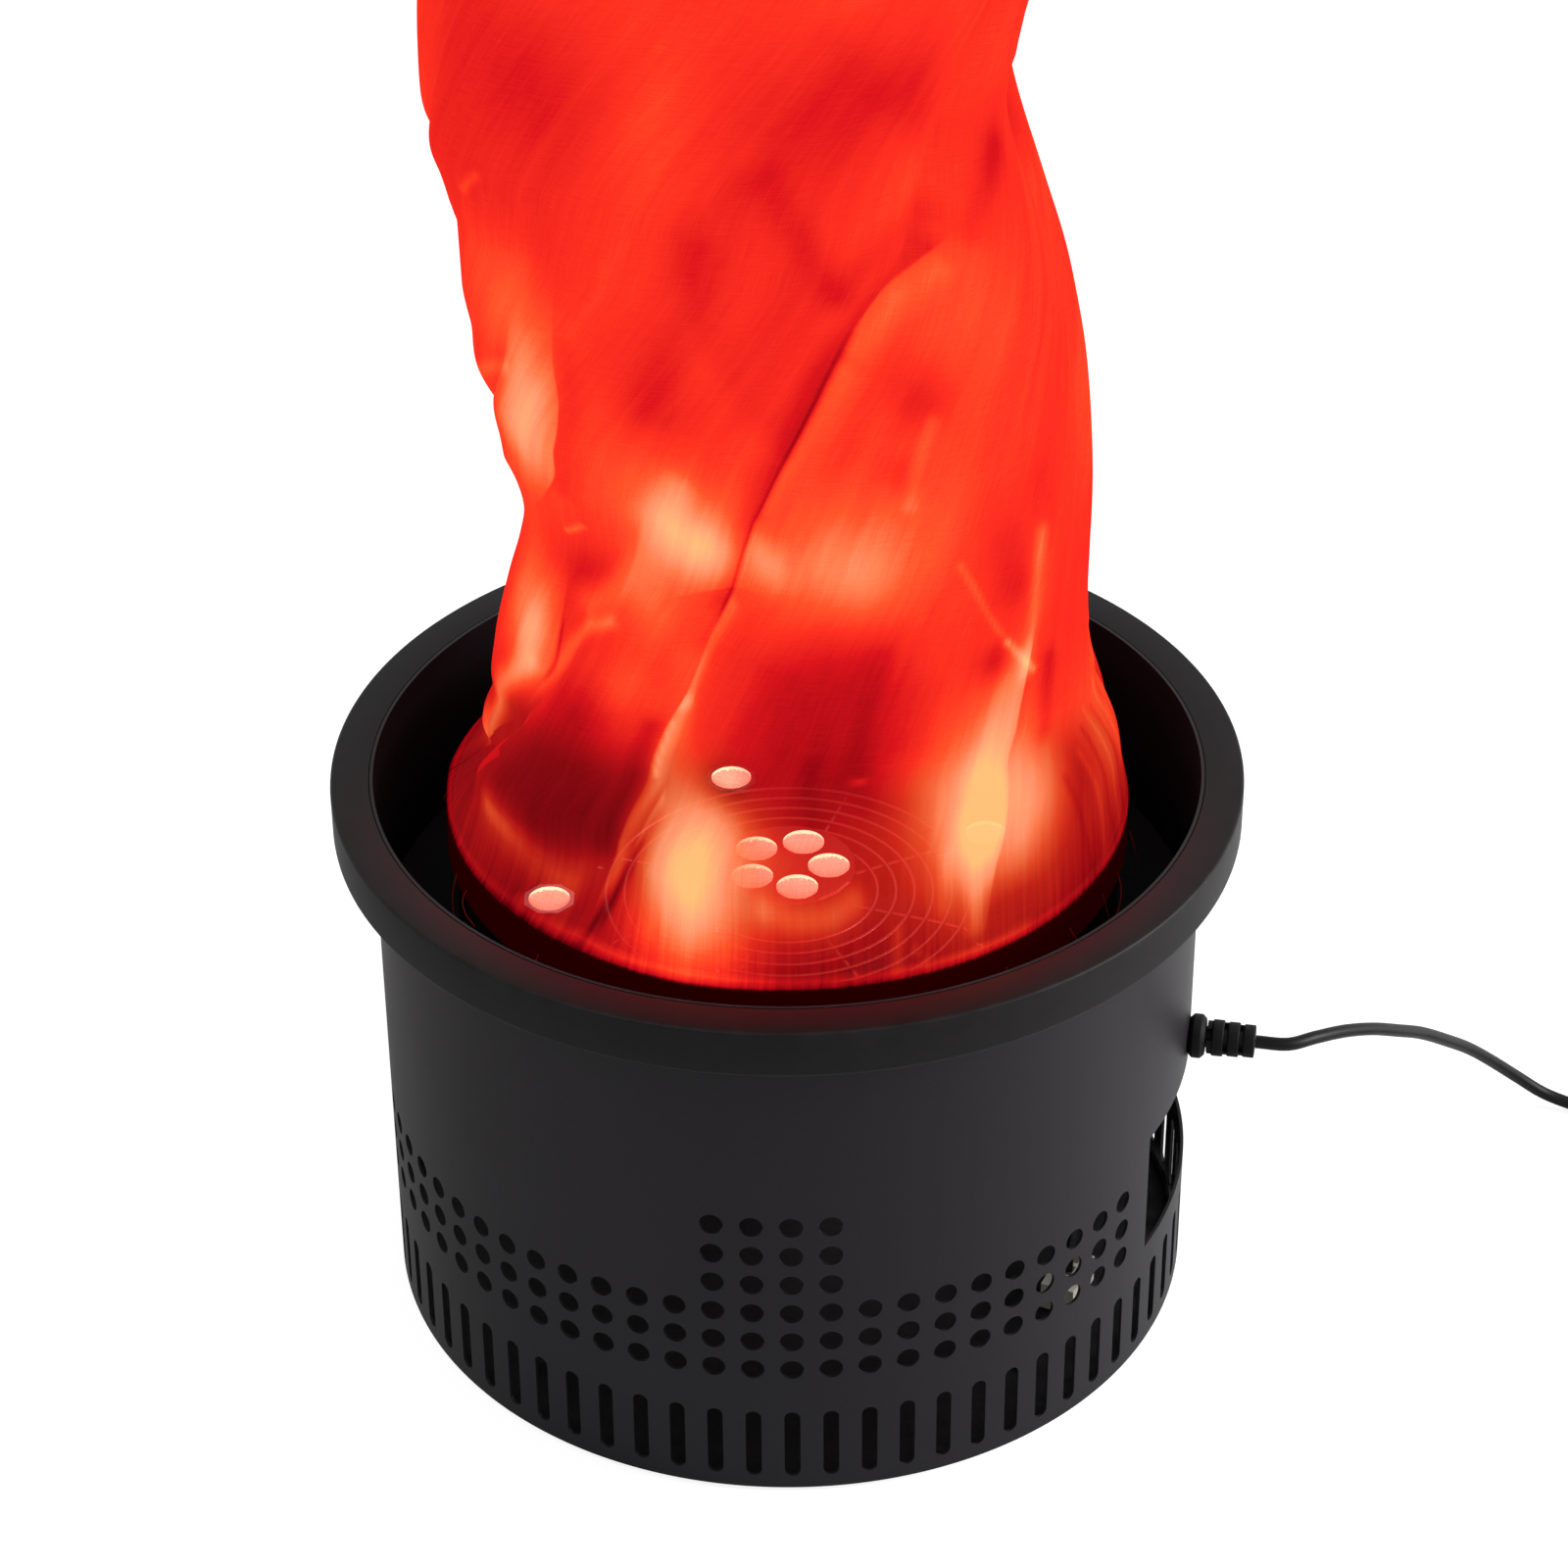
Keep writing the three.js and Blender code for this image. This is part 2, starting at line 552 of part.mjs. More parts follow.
function eachGuardScrew(make) {
  const circle = guardEdge + guardSpoke.bend + guardSpoke.foot + guardScrew.head + FIT;
  return Array.from({ length: guardScrew.count }, (_, i) => {
    const azimuth = guardScrew.azimuth + (i * 360) / guardScrew.count;
    return make(polar(circle, azimuth), i + 1);
  });
}

function eachLamp(make) {
  return Array.from({ length: lamp.count }, (_, i) => make(lamp.azimuth + (i * 360) / lamp.count, i + 1));
}

function eachClusterLamp(make) {
  return Array.from({ length: clusterLamp.count }, (_, i) => {
    const azimuth = clusterLamp.azimuth + (i * 360) / clusterLamp.count;
    return make(azimuth, i + 1);
  });
}

// Lamp cluster on the guard's centre: a base that sinks the heat, a board and a cover
function clusterBase() {
  const shelf = clusterBottom + cluster.bodyHeight;
  const edge = cluster.radius - cluster.sheet - FIT;
  const top = clusterBoardBottom - FIT;
  return turned([
    [0, clusterBottom], [cluster.body, clusterBottom], [cluster.body, shelf], [edge, shelf],
    [edge, top], [0, top],
  ], cluster.sides);
}

function clusterBoard() {
  const edge = cluster.radius - cluster.sheet - FIT;
  return turned([
    [0, clusterBoardBottom], [edge, clusterBoardBottom], [edge, clusterBoardTop], [0, clusterBoardTop],
  ], cluster.sides);
}

function clusterCover() {
  const inside = cluster.radius - cluster.sheet;
  const rimBottom = clusterBottom + cluster.bodyHeight;
  const cup = turned([
    [0, clusterTop - cluster.sheet], [inside, clusterTop - cluster.sheet], [inside, rimBottom],
    [cluster.radius, rimBottom], [cluster.radius, clusterTop - cluster.bevel],
    [cluster.radius - cluster.bevel, clusterTop], [0, clusterTop],
  ], cluster.sides);
  const depth = cluster.sheet + 2 * OVERRUN;
  return cut(cup, eachClusterLamp((azimuth) => prism(
    polygon(lens.radius + FIT, lens.sides, polar(clusterLamp.circle, azimuth)), depth,
    clusterTop - cluster.sheet - OVERRUN)));
}

// A lens whose dome ends at a height over its own origin, which is the dome's top
function lampLens() {
  const shoulder = -lens.dome;
  return turned([
    [0, shoulder - lens.height], [lens.radius * lensShares.base, shoulder - lens.height],
    [lens.radius, shoulder], [lens.radius * lensShares.crown, -lens.dome * lensShares.crownDrop], [0, 0],
  ], lens.sides);
}

// Turned lamp body that drops through the deck, with its heat sink under it
function lampHolder() {
  const seat = deckTop + FIT;
  const lip = seat + lamp.flangeHeight;
  const bottom = lip - lamp.length;
  const pocket = lip - lensSeat;
  return turned([
    [0, bottom], [lampFin.radius, bottom], [lampFin.radius, bottom + lampFin.height],
    [lamp.barrel, bottom + lampFin.height], [lamp.barrel, seat], [lamp.flange, seat],
    [lamp.flange, lip], [lens.radius + FIT, lip], [lens.radius + FIT, pocket], [0, pocket],
  ], lens.sides);
}

function lampBoard() {
  const bottom = deckTop + FIT + lamp.flangeHeight - lensSeat + FIT;
  return turned([
    [0, bottom], [ledBoard.radius, bottom], [ledBoard.radius, bottom + ledBoard.thickness],
    [0, bottom + ledBoard.thickness],
  ], ledBoard.sides);
}

// Power supply case with a folded lug at each end, on the floor plate
function supplyCase() {
  const bottom = floorTop + FIT;
  return fuse([
    box(supply.length, supply.width, supply.height, bottom),
    box(supply.length + 2 * supply.lug, supply.width / 2, supply.lugSheet, bottom),
  ]).translate(...polar(supplyCircle, supply.azimuth));
}

function eachSupplyScrew(make) {
  const reach = supply.length / 2 + supply.lug / 2;
  const [x, y] = polar(supplyCircle, supply.azimuth);
  return [-reach, reach].map((offset, i) => make([x + offset, y, 0], i + 1));
}

function terminalBlock() {
  const bottom = floorTop + FIT;
  const block = box(terminal.length, terminal.width, terminal.height, bottom);
  const pocket = box(terminal.length / 4, terminal.width / 3, terminal.height, bottom + terminal.height / 2);
  const pockets = [-1, 0, 1].map((i) => pocket.clone().translate((i * terminal.length) / 3, 0, 0));
  return cut(block, pockets)
    .rotateZ(radians(terminal.azimuth))
    .translate(...polar(terminalCircle, terminal.azimuth));
}

// Lead from the gland's nut down to the terminal block
function innerLeadTube() {
  const start = wallInside * Math.cos(radians(columnAngle / 2)) - FIT - gland.nutHeight - FIT;
  const terminalTop = floorTop + FIT + terminal.height;
  const rest = terminalTop + FIT;
  const { sag, swingAngle } = innerLead;
  return swept([
    polar(start, glandAzimuth, glandHeight), polar(start - sag / 2, glandAzimuth, glandHeight),
    polar(start - sag, glandAzimuth - swingAngle, glandHeight - sag),
    polar(terminalCircle, terminal.azimuth + swingAngle, rest + sag),
    polar(terminalCircle, terminal.azimuth, rest + sag / 2), polar(terminalCircle, terminal.azimuth, rest),
  ], innerLead.radius, innerLead.sides, innerLead.steps);
}

// Place a piece that is modelled along +Z so that it leaves the wall at the gland
function atGland(geometry) {
  const face = housing.radius * Math.cos(radians(columnAngle / 2));
  return radial(geometry, face, glandHeight, glandAzimuth);
}

function glandNut() {
  const outer = polygon(gland.nut, gland.nutSides);
  const bottom = -housing.sheet - FIT - gland.nutHeight;
  const through = gland.nutHeight + 2 * OVERRUN;
  const bore = prism(polygon(gland.neck + FIT, gland.sides), through, bottom - OVERRUN);
  return atGland(cut(prism(outer, gland.nutHeight, bottom), [bore]));
}

// Strain relief: a neck through the wall, a bevelled collar and three slotted ribs that taper
const reliefLength = FIT + relief.collarHeight + relief.waistHeight
  + reliefRib.count * reliefRib.height + (reliefRib.count - 1) * reliefRib.gap;

function strainRelief() {
  const inner = -housing.sheet - FIT - gland.nutHeight;
  const collarEnd = FIT + relief.collarHeight;
  const ribs = Array.from({ length: reliefRib.count }, (_, i) => {
    const low = collarEnd + relief.waistHeight + i * (reliefRib.height + reliefRib.gap);
    const radius = relief.root + ((relief.tip - relief.root) * i) / (reliefRib.count - 1);
    const last = i === reliefRib.count - 1;
    const end = [[radius, low], [radius, low + reliefRib.height]];
    const foot = [[relief.waist, low], ...end, [relief.waist, low + reliefRib.height]];
    return last ? foot.slice(0, 3) : foot;
  }).flat();
  const body = turned([
    [0, inner], [gland.neck, inner], [gland.neck, FIT], [relief.collar - relief.bevel, FIT],
    [relief.collar, FIT + relief.bevel], [relief.collar, collarEnd - relief.bevel],
    [relief.collar - relief.bevel, collarEnd], [relief.waist, collarEnd], ...ribs, [0, reliefLength],
  ], gland.sides);
  return atGland(solid(body));
}

// The coil's centre line: it winds in on the floor, climbs where it turns back and winds out above
function coilPath() {
  const steps = 2 * coil.turns * coil.stepsPerTurn;
  const climb = coil.stepsPerTurn / 2;
  const points = Array.from({ length: steps + 1 }, (_, i) => {
    const fromMiddle = i - steps / 2;
    const radius = coil.inner + (Math.abs(fromMiddle) / coil.stepsPerTurn) * coilPitch;
    const share = THREE.MathUtils.clamp(fromMiddle / climb + 0.5, 0, 1);
    const angle = radians(coil.azimuth - (i * 360) / coil.stepsPerTurn);
    const height = cord.radius + coilPitch * THREE.MathUtils.smoothstep(share, 0, 1);
    return new THREE.Vector3(
      coil.centre[0] + radius * Math.cos(angle), coil.centre[1] + radius * Math.sin(angle), height);
  });
  const heading = coilHeading();
  points.unshift(points[0].clone().addScaledVector(heading, -coilEnd.entry));
  points.push(points[points.length - 1].clone().addScaledVector(heading, coilEnd.exit));
  return points;
}

function coilHeading() {
  const angle = radians(coil.azimuth);
  return new THREE.Vector3(Math.sin(angle), -Math.cos(angle), 0);
}

function cordCoil() {
  const path = coilPath();
  const rings = path.map((point, i) => {
    const ahead = path[Math.min(i + 1, path.length - 1)];
    const behind = path[Math.max(i - 1, 0)];
    const ends = i === 0 || i === path.length - 1;
    const along = ends ? coilHeading() : ahead.clone().sub(behind).normalize();
    const side = new THREE.Vector3(along.y, -along.x, 0).normalize();
    const lift = side.clone().cross(along);
    return polygon(cord.radius, coil.sides).map(([x, y]) => point.clone()
      .addScaledVector(side, x).addScaledVector(lift, y).toArray());
  });
  return skinned(rings, true, true);
}

// Least gap between two stretches of the coil that lie over half a turn apart
function coilGap() {
  const path = coilPath();
  let least = Infinity;
  for (let i = 0; i < path.length; i += 1) {
    for (let j = i + coil.stepsPerTurn / 2; j < path.length; j += 1) {
      least = Math.min(least, path[i].distanceTo(path[j]) - 2 * cord.radius);
    }
  }
  return least;
}

function freeCord() {
  const face = housing.radius * Math.cos(radians(columnAngle / 2));
  const start = polar(face + reliefLength + FIT, glandAzimuth, glandHeight);
  const entry = coilPath()[0];
  const end = entry.clone().addScaledVector(coilHeading(), -FIT);
  const before = end.clone().addScaledVector(coilHeading(), -coilEnd.entry);
  return swept([start, ...cordRoute, before.toArray(), end.toArray()], cord.radius, cord.sides, cord.steps);
}

// Place a plug piece, modelled along +X from the coil's end, on the floor beside the coil
function atCoilEnd(geometry) {
  const end = coilPath().at(-1).addScaledVector(coilHeading(), FIT);
  return geometry.rotateZ(Math.atan2(coilHeading().y, coilHeading().x)).translate(end.x, end.y, coilTop);
}

function plugBody() {
  const neck = turned([[0, 0], [plug.neckStart, 0], [plug.neckEnd, plug.neckLength + OVERRUN],
    [0, plug.neckLength + OVERRUN]], plug.sides).rotateY(Math.PI / 2);
  const half = [plug.width / 2, coilTop];
  const outline = [[-1, -1], [1, -1], [1, 1], [-1, 1]].flatMap(([x, y]) => {
    const corner = [[x * half[0], y * (half[1] - plug.bevel)], [x * (half[0] - plug.bevel), y * half[1]]];
    return x * y > 0 ? corner : corner.toReversed();
  });
  const block = prism(outline, plug.length, plug.neckLength).rotateZ(Math.PI / 2).rotateY(Math.PI / 2);
  return atCoilEnd(fuse([neck, block]));
}

const plugFace = plug.neckLength + plug.length + FIT;

function plugBlade(side) {
  return atCoilEnd(new THREE.BoxGeometry(pin.length, pin.thickness, pin.width)
    .translate(plugFace + pin.length / 2, (side * pin.spacing) / 2, pin.earthDrop / 2));
}

function plugEarthPin() {
  return atCoilEnd(prism(polygon(pin.earth, pin.sides), pin.length)
    .rotateY(Math.PI / 2)
    .translate(plugFace, 0, -pin.earthDrop));
}

// Colour, roughness and metalness of each finish
const finishes = {
  blackSteel: [0x1c1b1d, 0.55, 0.3],
  deckSteel: [0x161517, 0.6, 0.3],
  blackPlastic: [0x121214, 0.5, 0],
  blackRubber: [0x0d0d0e, 0.8, 0],
  hookTape: [0x17100f, 0.95, 0],
  redSilk: [0xe02314, 0.45, 0],
  brightWire: [0xa9a6a4, 0.3, 0.9],
  castAluminium: [0x8c8c8e, 0.45, 0.8],
  clearLens: [0xf4ede4, 0.08, 0],
  ledBoard: [0xe8e4d8, 0.5, 0.1],
  motorSteel: [0x6c5a3c, 0.5, 0.6],
  bearingSteel: [0xb4b6ba, 0.2, 1],
  caseSteel: [0x9a9da1, 0.4, 0.8],
  screwSteel: [0xa0a2a6, 0.35, 0.9],
  whitePlastic: [0xdad6cc, 0.5, 0],
  brassPin: [0xc7a95a, 0.3, 0.9],
};

const light = new THREE.Group();

function add(name, geometry, finish) {
  const [color, roughness, metalness] = finishes[finish];
  const mesh = new THREE.Mesh(geometry, new THREE.MeshStandardMaterial({ color, roughness, metalness }));
  mesh.name = name;
  light.add(mesh);
  return mesh;
}

add('housing_wall', housingWall(), 'blackSteel');
add('rim_ring', solid(rimRing()), 'blackSteel');
add('bottom_plate', bottomPlate(), 'blackSteel');
eachFoot((azimuth, number) => add(`rubber_foot_${number}`, solid(rubberFoot()), 'blackRubber')
  .position.set(...polar(footCircle, azimuth)));
add('deck_plate', deckPlate(), 'deckSteel');
add('silk_collar', solid(silkCollar()), 'deckSteel');
add('hook_loop_band', solid(hookLoopBand()), 'hookTape');
add('silk_flame', solid(silkFlame()), 'redSilk');
add('fan_frame', fanFrame(), 'blackPlastic');
add('fan_rotor', fanRotor(), 'blackPlastic');
add('motor_stator', solid(motorStator()), 'motorSteel');
add('motor_bearing_lower', solid(motorBearing(hubPlateTop + FIT)), 'bearingSteel');
add('motor_bearing_upper', solid(motorBearing(hubPlateTop + bearing.height + 2 * FIT)), 'bearingSteel');
add('fan_guard', fanGuard(), 'brightWire');
eachGuardScrew((spot, number) => add(`guard_screw_${number}`,
  solid(panHead(guardScrew, deckTop + FIT)), 'screwSteel').position.set(...spot));
add('cluster_base', solid(clusterBase()), 'castAluminium');
add('cluster_board', solid(clusterBoard()), 'ledBoard');
add('cluster_cover', clusterCover(), 'castAluminium');
eachClusterLamp((azimuth, number) => add(`cluster_lens_${number}`, solid(lampLens()), 'clearLens')
  .position.set(...polar(clusterLamp.circle, azimuth, clusterTop + lens.proud)));
eachLamp((azimuth, number) => add(`lamp_holder_${number}`, solid(lampHolder()), 'castAluminium')
  .position.set(...polar(lamp.circle, azimuth)));
eachLamp((azimuth, number) => add(`lamp_lens_${number}`, solid(lampLens()), 'clearLens')
  .position.set(...polar(lamp.circle, azimuth, deckTop + FIT + lamp.flangeHeight + lens.dome)));
eachLamp((azimuth, number) => add(`lamp_board_${number}`, solid(lampBoard()), 'ledBoard')
  .position.set(...polar(lamp.circle, azimuth)));
add('power_supply', supplyCase(), 'caseSteel');
eachSupplyScrew((spot, number) => add(`supply_screw_${number}`,
  solid(panHead(supplyScrew, floorTop + FIT + supply.lugSheet + FIT)), 'screwSteel')
  .position.set(...spot));
add('terminal_block', terminalBlock(), 'whitePlastic');
add('inner_lead', solid(innerLeadTube()), 'blackRubber');
add('gland_nut', glandNut(), 'blackPlastic');
add('strain_relief', strainRelief(), 'blackRubber');
add('cord', solid(freeCord()), 'blackRubber');
add('cord_coil', solid(cordCoil()), 'blackRubber');
add('plug_body', plugBody(), 'blackRubber');
add('plug_blade_left', solid(plugBlade(1)), 'brassPin');
add('plug_blade_right', solid(plugBlade(-1)), 'brassPin');
add('plug_earth_pin', solid(plugEarthPin()), 'brassPin');

console.log(`Least gap between the coil's turns: ${coilGap().toFixed(2)} mm`);

export default light;
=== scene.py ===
# Silk flame effect light: the cloth, the cord, the fine shapes and the finishes over its solids.
# Sizes are in millimetres and degrees until a mesh is made, and azimuths run from the front towards +X.
import math

import bmesh
import bpy
import numpy as np
from mathutils import Matrix, Vector


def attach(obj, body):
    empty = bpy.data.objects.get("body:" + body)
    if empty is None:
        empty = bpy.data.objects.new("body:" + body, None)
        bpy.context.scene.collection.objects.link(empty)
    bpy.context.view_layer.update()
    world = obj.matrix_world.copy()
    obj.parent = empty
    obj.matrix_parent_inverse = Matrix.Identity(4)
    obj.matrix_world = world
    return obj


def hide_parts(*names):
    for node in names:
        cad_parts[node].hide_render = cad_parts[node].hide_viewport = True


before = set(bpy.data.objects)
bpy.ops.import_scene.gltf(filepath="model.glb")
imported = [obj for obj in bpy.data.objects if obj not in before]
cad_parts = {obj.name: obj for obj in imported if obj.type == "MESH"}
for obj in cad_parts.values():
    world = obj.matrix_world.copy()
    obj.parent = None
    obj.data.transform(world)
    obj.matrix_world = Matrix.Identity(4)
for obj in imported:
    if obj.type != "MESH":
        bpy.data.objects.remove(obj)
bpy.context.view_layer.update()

MM = 0.001
FIT = 0.3
HOUSING = {"radius": 196.5, "sheet": 1.5, "stand": 3, "height": 281, "columns": 68, "facets": 272}
WALL_TOP = HOUSING["stand"] + HOUSING["height"]
WALL_FLAT = HOUSING["radius"] * math.cos(math.radians(180 / HOUSING["columns"]))
HOLES = {"radius": 5.5, "first": 73.1, "pitch": 16.9, "rows": 3, "raised": 3, "raised_from": -2,
         "raised_to": 1}
SLOTS = {"width": 7.5, "bottom": 7.3, "top": 47}
WINDOW = {"azimuth": 79.41, "half_angle": 19.4, "bottom": 62.4, "top": 129, "margin": 1.8}
CUTTER_DEPTH = 12
RIM = {"radius": 215, "height": 24, "bevel": 1.8, "under_bevel": 2.2, "eased": 0.6}
DECK = {"top": WALL_TOP - 87, "plate": 2, "skirt": 14, "opening": 80}
COLLAR = {"radius": 158.4, "sheet": 1.5, "flange": 9, "top": WALL_TOP - 16, "base": DECK["top"] + FIT}
BAND = {"thickness": 1.2, "height": 20, "drop": 1.5}
GUARD = {"wire": 1.1, "first": 43.3, "pitch": 8.9, "rings": 6, "spokes": 8, "spoke_azimuth": -20, "hub": 24,
         "plane": DECK["top"] + 10, "weld": 0.2}
LENS = {"radius": 10, "height": 5, "dome": 0.9, "stands": 1.2, "under_share": 0.8}
LAMPS = {"count": 5, "azimuth": -22, "circle": 116}
CLUSTER = {"count": 5, "azimuth": 13, "circle": 19.8, "top": 223.5, "stands": 1}
GLAND = {"azimuth": 79.41, "height": 146, "hole": 6.8}
CORD_RADIUS = 3.25


# Small shape tools

def polar(radius, azimuth, height=0.0):
    angle = math.radians(azimuth)
    return Vector((radius * math.sin(angle), -radius * math.cos(angle), height))


def link(data, name):
    made = bpy.data.objects.new(name, data)
    bpy.context.scene.collection.objects.link(made)
    return made


def finish_mesh(mesh, crisp):
    mesh.shade_smooth()
    mesh.set_sharp_from_angle(angle=math.radians(crisp))
    mesh.update()


def piece(name, points, faces, material, crisp=35):
    """A mesh piece from points in millimetres, with its doubles merged and its faces outwards."""
    mesh = bpy.data.meshes.new(name)
    mesh.from_pydata([Vector(p) * MM for p in points], [], faces)
    merged = bmesh.new()
    merged.from_mesh(mesh)
    bmesh.ops.remove_doubles(merged, verts=merged.verts, dist=1e-6)
    bmesh.ops.recalc_face_normals(merged, faces=merged.faces)
    merged.to_mesh(mesh)
    merged.free()
    mesh.materials.append(material)
    finish_mesh(mesh, crisp)
    return link(mesh, name)


def rounded(profile, closed):
    """A profile of (radius, height, fillet) points with each filleted corner turned into an arc."""
    out = []
    count = len(profile)
    for i, corner in enumerate(profile):
        here = np.array(corner[:2], float)
        if len(corner) < 3 or (not closed and i in (0, count - 1)):
            out.append(here)
            continue
        before = np.array(profile[i - 1][:2], float) - here
        after = np.array(profile[(i + 1) % count][:2], float) - here
        start, end = (here + way / np.linalg.norm(way) * corner[2] for way in (before, after))
        for t in np.linspace(0, 1, 5):
            out.append((1 - t) ** 2 * start + 2 * t * (1 - t) * here + t ** 2 * end)
    return out


def skin(rings, sides, closed=False):
    """Faces between rings of points. A closed skin joins the last ring to the first."""
    faces = []
    for ring in range(rings if closed else rings - 1):
        low, high = ring * sides, (ring + 1) % rings * sides
        for s in range(sides):
            t = (s + 1) % sides
            faces.append((low + s, low + t, high + t, high + s))
    return faces


def capped_skin(rings, sides):
    """Faces between rings of points, with a flat face over each end."""
    last = (rings - 1) * sides
    return [tuple(reversed(range(sides))), tuple(range(last, last + sides)), *skin(rings, sides)]


def turned_shape(profile, segments=128):
    """Points and faces of a profile turned about the Z axis. It closes on the axis or on itself."""
    closed = profile[0][0] > 0
    outline = rounded(profile, closed)
    points = [polar(r, 360 * (s + 0.5) / segments, h) for r, h in outline for s in range(segments)]
    return points, skin(len(outline), segments, closed)


def turned(name, profile, material, segments=128, crisp=35, at=(0, 0, 0)):
    points, faces = turned_shape(profile, segments)
    return piece(name, [p + Vector(at) for p in points], faces, material, crisp)


def tube_shape(path, radius, sides):
    """Points and faces of a round tube along a path, with its sides carried along without twist."""
    spots = [Vector(p) for p in path]
    along = [(after - before).normalized()
             for before, after in zip([spots[0], *spots], [*spots[1:], spots[-1]])]
    side = along[0].orthogonal().normalized()
    points = []
    for spot, way in zip(spots, along):
        side = (side - way * side.dot(way)).normalized()
        lift = way.cross(side)
        for k in range(sides):
            turn = 2 * math.pi * k / sides
            points.append(spot + (side * math.cos(turn) + lift * math.sin(turn)) * radius)
    return points, capped_skin(len(spots), sides)


def loft_shape(sections, sides=40):
    """Points and faces of a body along +X, from (place, half width, half height, squareness) sections."""
    points = []
    for place, wide, tall, square in sections:
        for k in range(sides):
            turn = 2 * math.pi * (k + 0.5) / sides
            c, s = math.cos(turn), math.sin(turn)
            size = (abs(c) ** square + abs(s) ** square) ** (-1 / square)
            points.append(Vector((place, wide * c * size, tall * s * size)))
    return points, capped_skin(len(sections), sides)


def joined(shapes):
    points, faces = [], []
    for more_points, more_faces in shapes:
        start = len(points)
        points += list(more_points)
        faces += [tuple(start + i for i in face) for face in more_faces]
    return points, faces


def curve_through(knots, per_span):
    """A smooth line of points through knots, with each span paced by the root of its length."""
    knots = [np.array(k, float) for k in knots]
    ends = [2 * knots[0] - knots[1], *knots, 2 * knots[-1] - knots[-2]]
    out = []
    for p0, p1, p2, p3 in zip(ends, ends[1:], ends[2:], ends[3:]):
        t1 = np.linalg.norm(p1 - p0) ** 0.5
        t2 = t1 + np.linalg.norm(p2 - p1) ** 0.5
        t3 = t2 + np.linalg.norm(p3 - p2) ** 0.5
        for t in np.linspace(t1, t2, per_span, endpoint=False):
            a1 = p0 + (p1 - p0) * t / t1
            a2 = p1 + (p2 - p1) * (t - t1) / (t2 - t1)
            a3 = p2 + (p3 - p2) * (t - t2) / (t3 - t2)
            b1 = a1 + (a2 - a1) * t / t2
            b2 = a2 + (a3 - a2) * (t - t1) / (t3 - t1)
            out.append(b1 + (b2 - b1) * (t - t1) / (t2 - t1))
    out.append(knots[-1])
    return out


# Camera, at the photograph's height and angle

CAMERA = {"place": (-1.45, -1659.6, 1379.9), "forward": (0, 0.83113, -0.55608), "roll": -0.4726,
          "lens": 96.75, "sensor": 36.0, "reach": 20}


def make_camera():
    forward = Vector(CAMERA["forward"]).normalized()
    level = forward.cross(Vector((0, 0, 1))).normalized()
    above = level.cross(forward)
    roll = math.radians(CAMERA["roll"])
    right = level * math.cos(roll) + above * math.sin(roll)
    up = above * math.cos(roll) - level * math.sin(roll)
    data = bpy.data.cameras.new("camera")
    data.lens, data.sensor_width, data.clip_end = CAMERA["lens"], CAMERA["sensor"], CAMERA["reach"]
    made = link(data, "camera")
    made.matrix_world = Matrix((right, up, -forward)).transposed().to_4x4()
    made.location = Vector(CAMERA["place"]) * MM
    bpy.context.scene.camera = made


make_camera()


# Node tools for materials and geometry trees

class Nodes:
    """A node tree, with short ways to add the nodes that are used most."""

    def __init__(self, tree):
        self.tree = tree

    def feed(self, node, values):
        """Sets inputs of a node to values, or joins them to a socket or to several."""
        for key, value in values.items():
            several = isinstance(value, list) and isinstance(value[0], bpy.types.NodeSocket)
            for one in value if several else [value]:
                if isinstance(one, bpy.types.NodeSocket):
                    self.tree.links.new(one, node.inputs[key])
                else:
                    node.inputs[key].default_value = one

    def node(self, kind, inputs=None, **settings):
        made = self.tree.nodes.new(kind)
        for key, value in settings.items():
            setattr(made, key, value)
        self.feed(made, inputs or {})
        return made

    def add(self, kind, inputs=None, **settings):
        return self.node(kind, inputs, **settings).outputs

    def math(self, operation, a, b=0.0, clamp=False):
        return self.add("ShaderNodeMath", {0: a, 1: b}, operation=operation, use_clamp=clamp)[0]

    def plus(self, a, b, clamp=False):
        return self.math("ADD", a, b, clamp)

    def minus(self, a, b, clamp=False):
        return self.math("SUBTRACT", a, b, clamp)

    def times(self, a, b, clamp=False):
        return self.math("MULTIPLY", a, b, clamp)

    def over(self, a, b):
        return self.math("DIVIDE", a, b)

    def span(self, value, low, high, start=0.0, end=1.0, kind="LINEAR"):
        """A value's way from low to high, as a value from start to end."""
        return self.add("ShaderNodeMapRange", {"Value": value, "From Min": low, "From Max": high,
                                               "To Min": start, "To Max": end}, interpolation_type=kind)[0]

    def split(self, vector):
        return self.add("ShaderNodeSeparateXYZ", {0: vector})

    def place(self):
        return self.add("ShaderNodeTexCoord")["Object"]

    def normal(self):
        return self.split(self.add("ShaderNodeNewGeometry")["Normal"])

    def stored(self, name):
        return self.add("ShaderNodeAttribute", attribute_name=name)["Fac"]

    def noise(self, vector, scale, detail=2.0, rough=0.5):
        return self.add("ShaderNodeTexNoise", {"Vector": vector, "Scale": scale, "Detail": detail,
                                               "Roughness": rough})["Fac"]

    def scaled(self, vector, amount):
        return self.add("ShaderNodeMapping", {"Vector": vector, "Scale": amount})["Vector"]

    def ramp(self, value, stops):
        made = self.node("ShaderNodeValToRGB", {"Fac": value})
        elements = made.color_ramp.elements
        while len(elements) < len(stops):
            elements.new(1.0)
        for element, (place, colour) in zip(elements, stops):
            element.position = place
            element.color = (*colour, 1)
        return made.outputs["Color"]

    def blend(self, share, a, b, kind="MIX"):
        return self.add("ShaderNodeMix", {"Factor": share, 6: a, 7: b}, data_type="RGBA", blend_type=kind)[2]

    def bump(self, height, strength, distance):
        return self.add("ShaderNodeBump", {"Strength": strength, "Distance": distance,
                                           "Height": height})["Normal"]


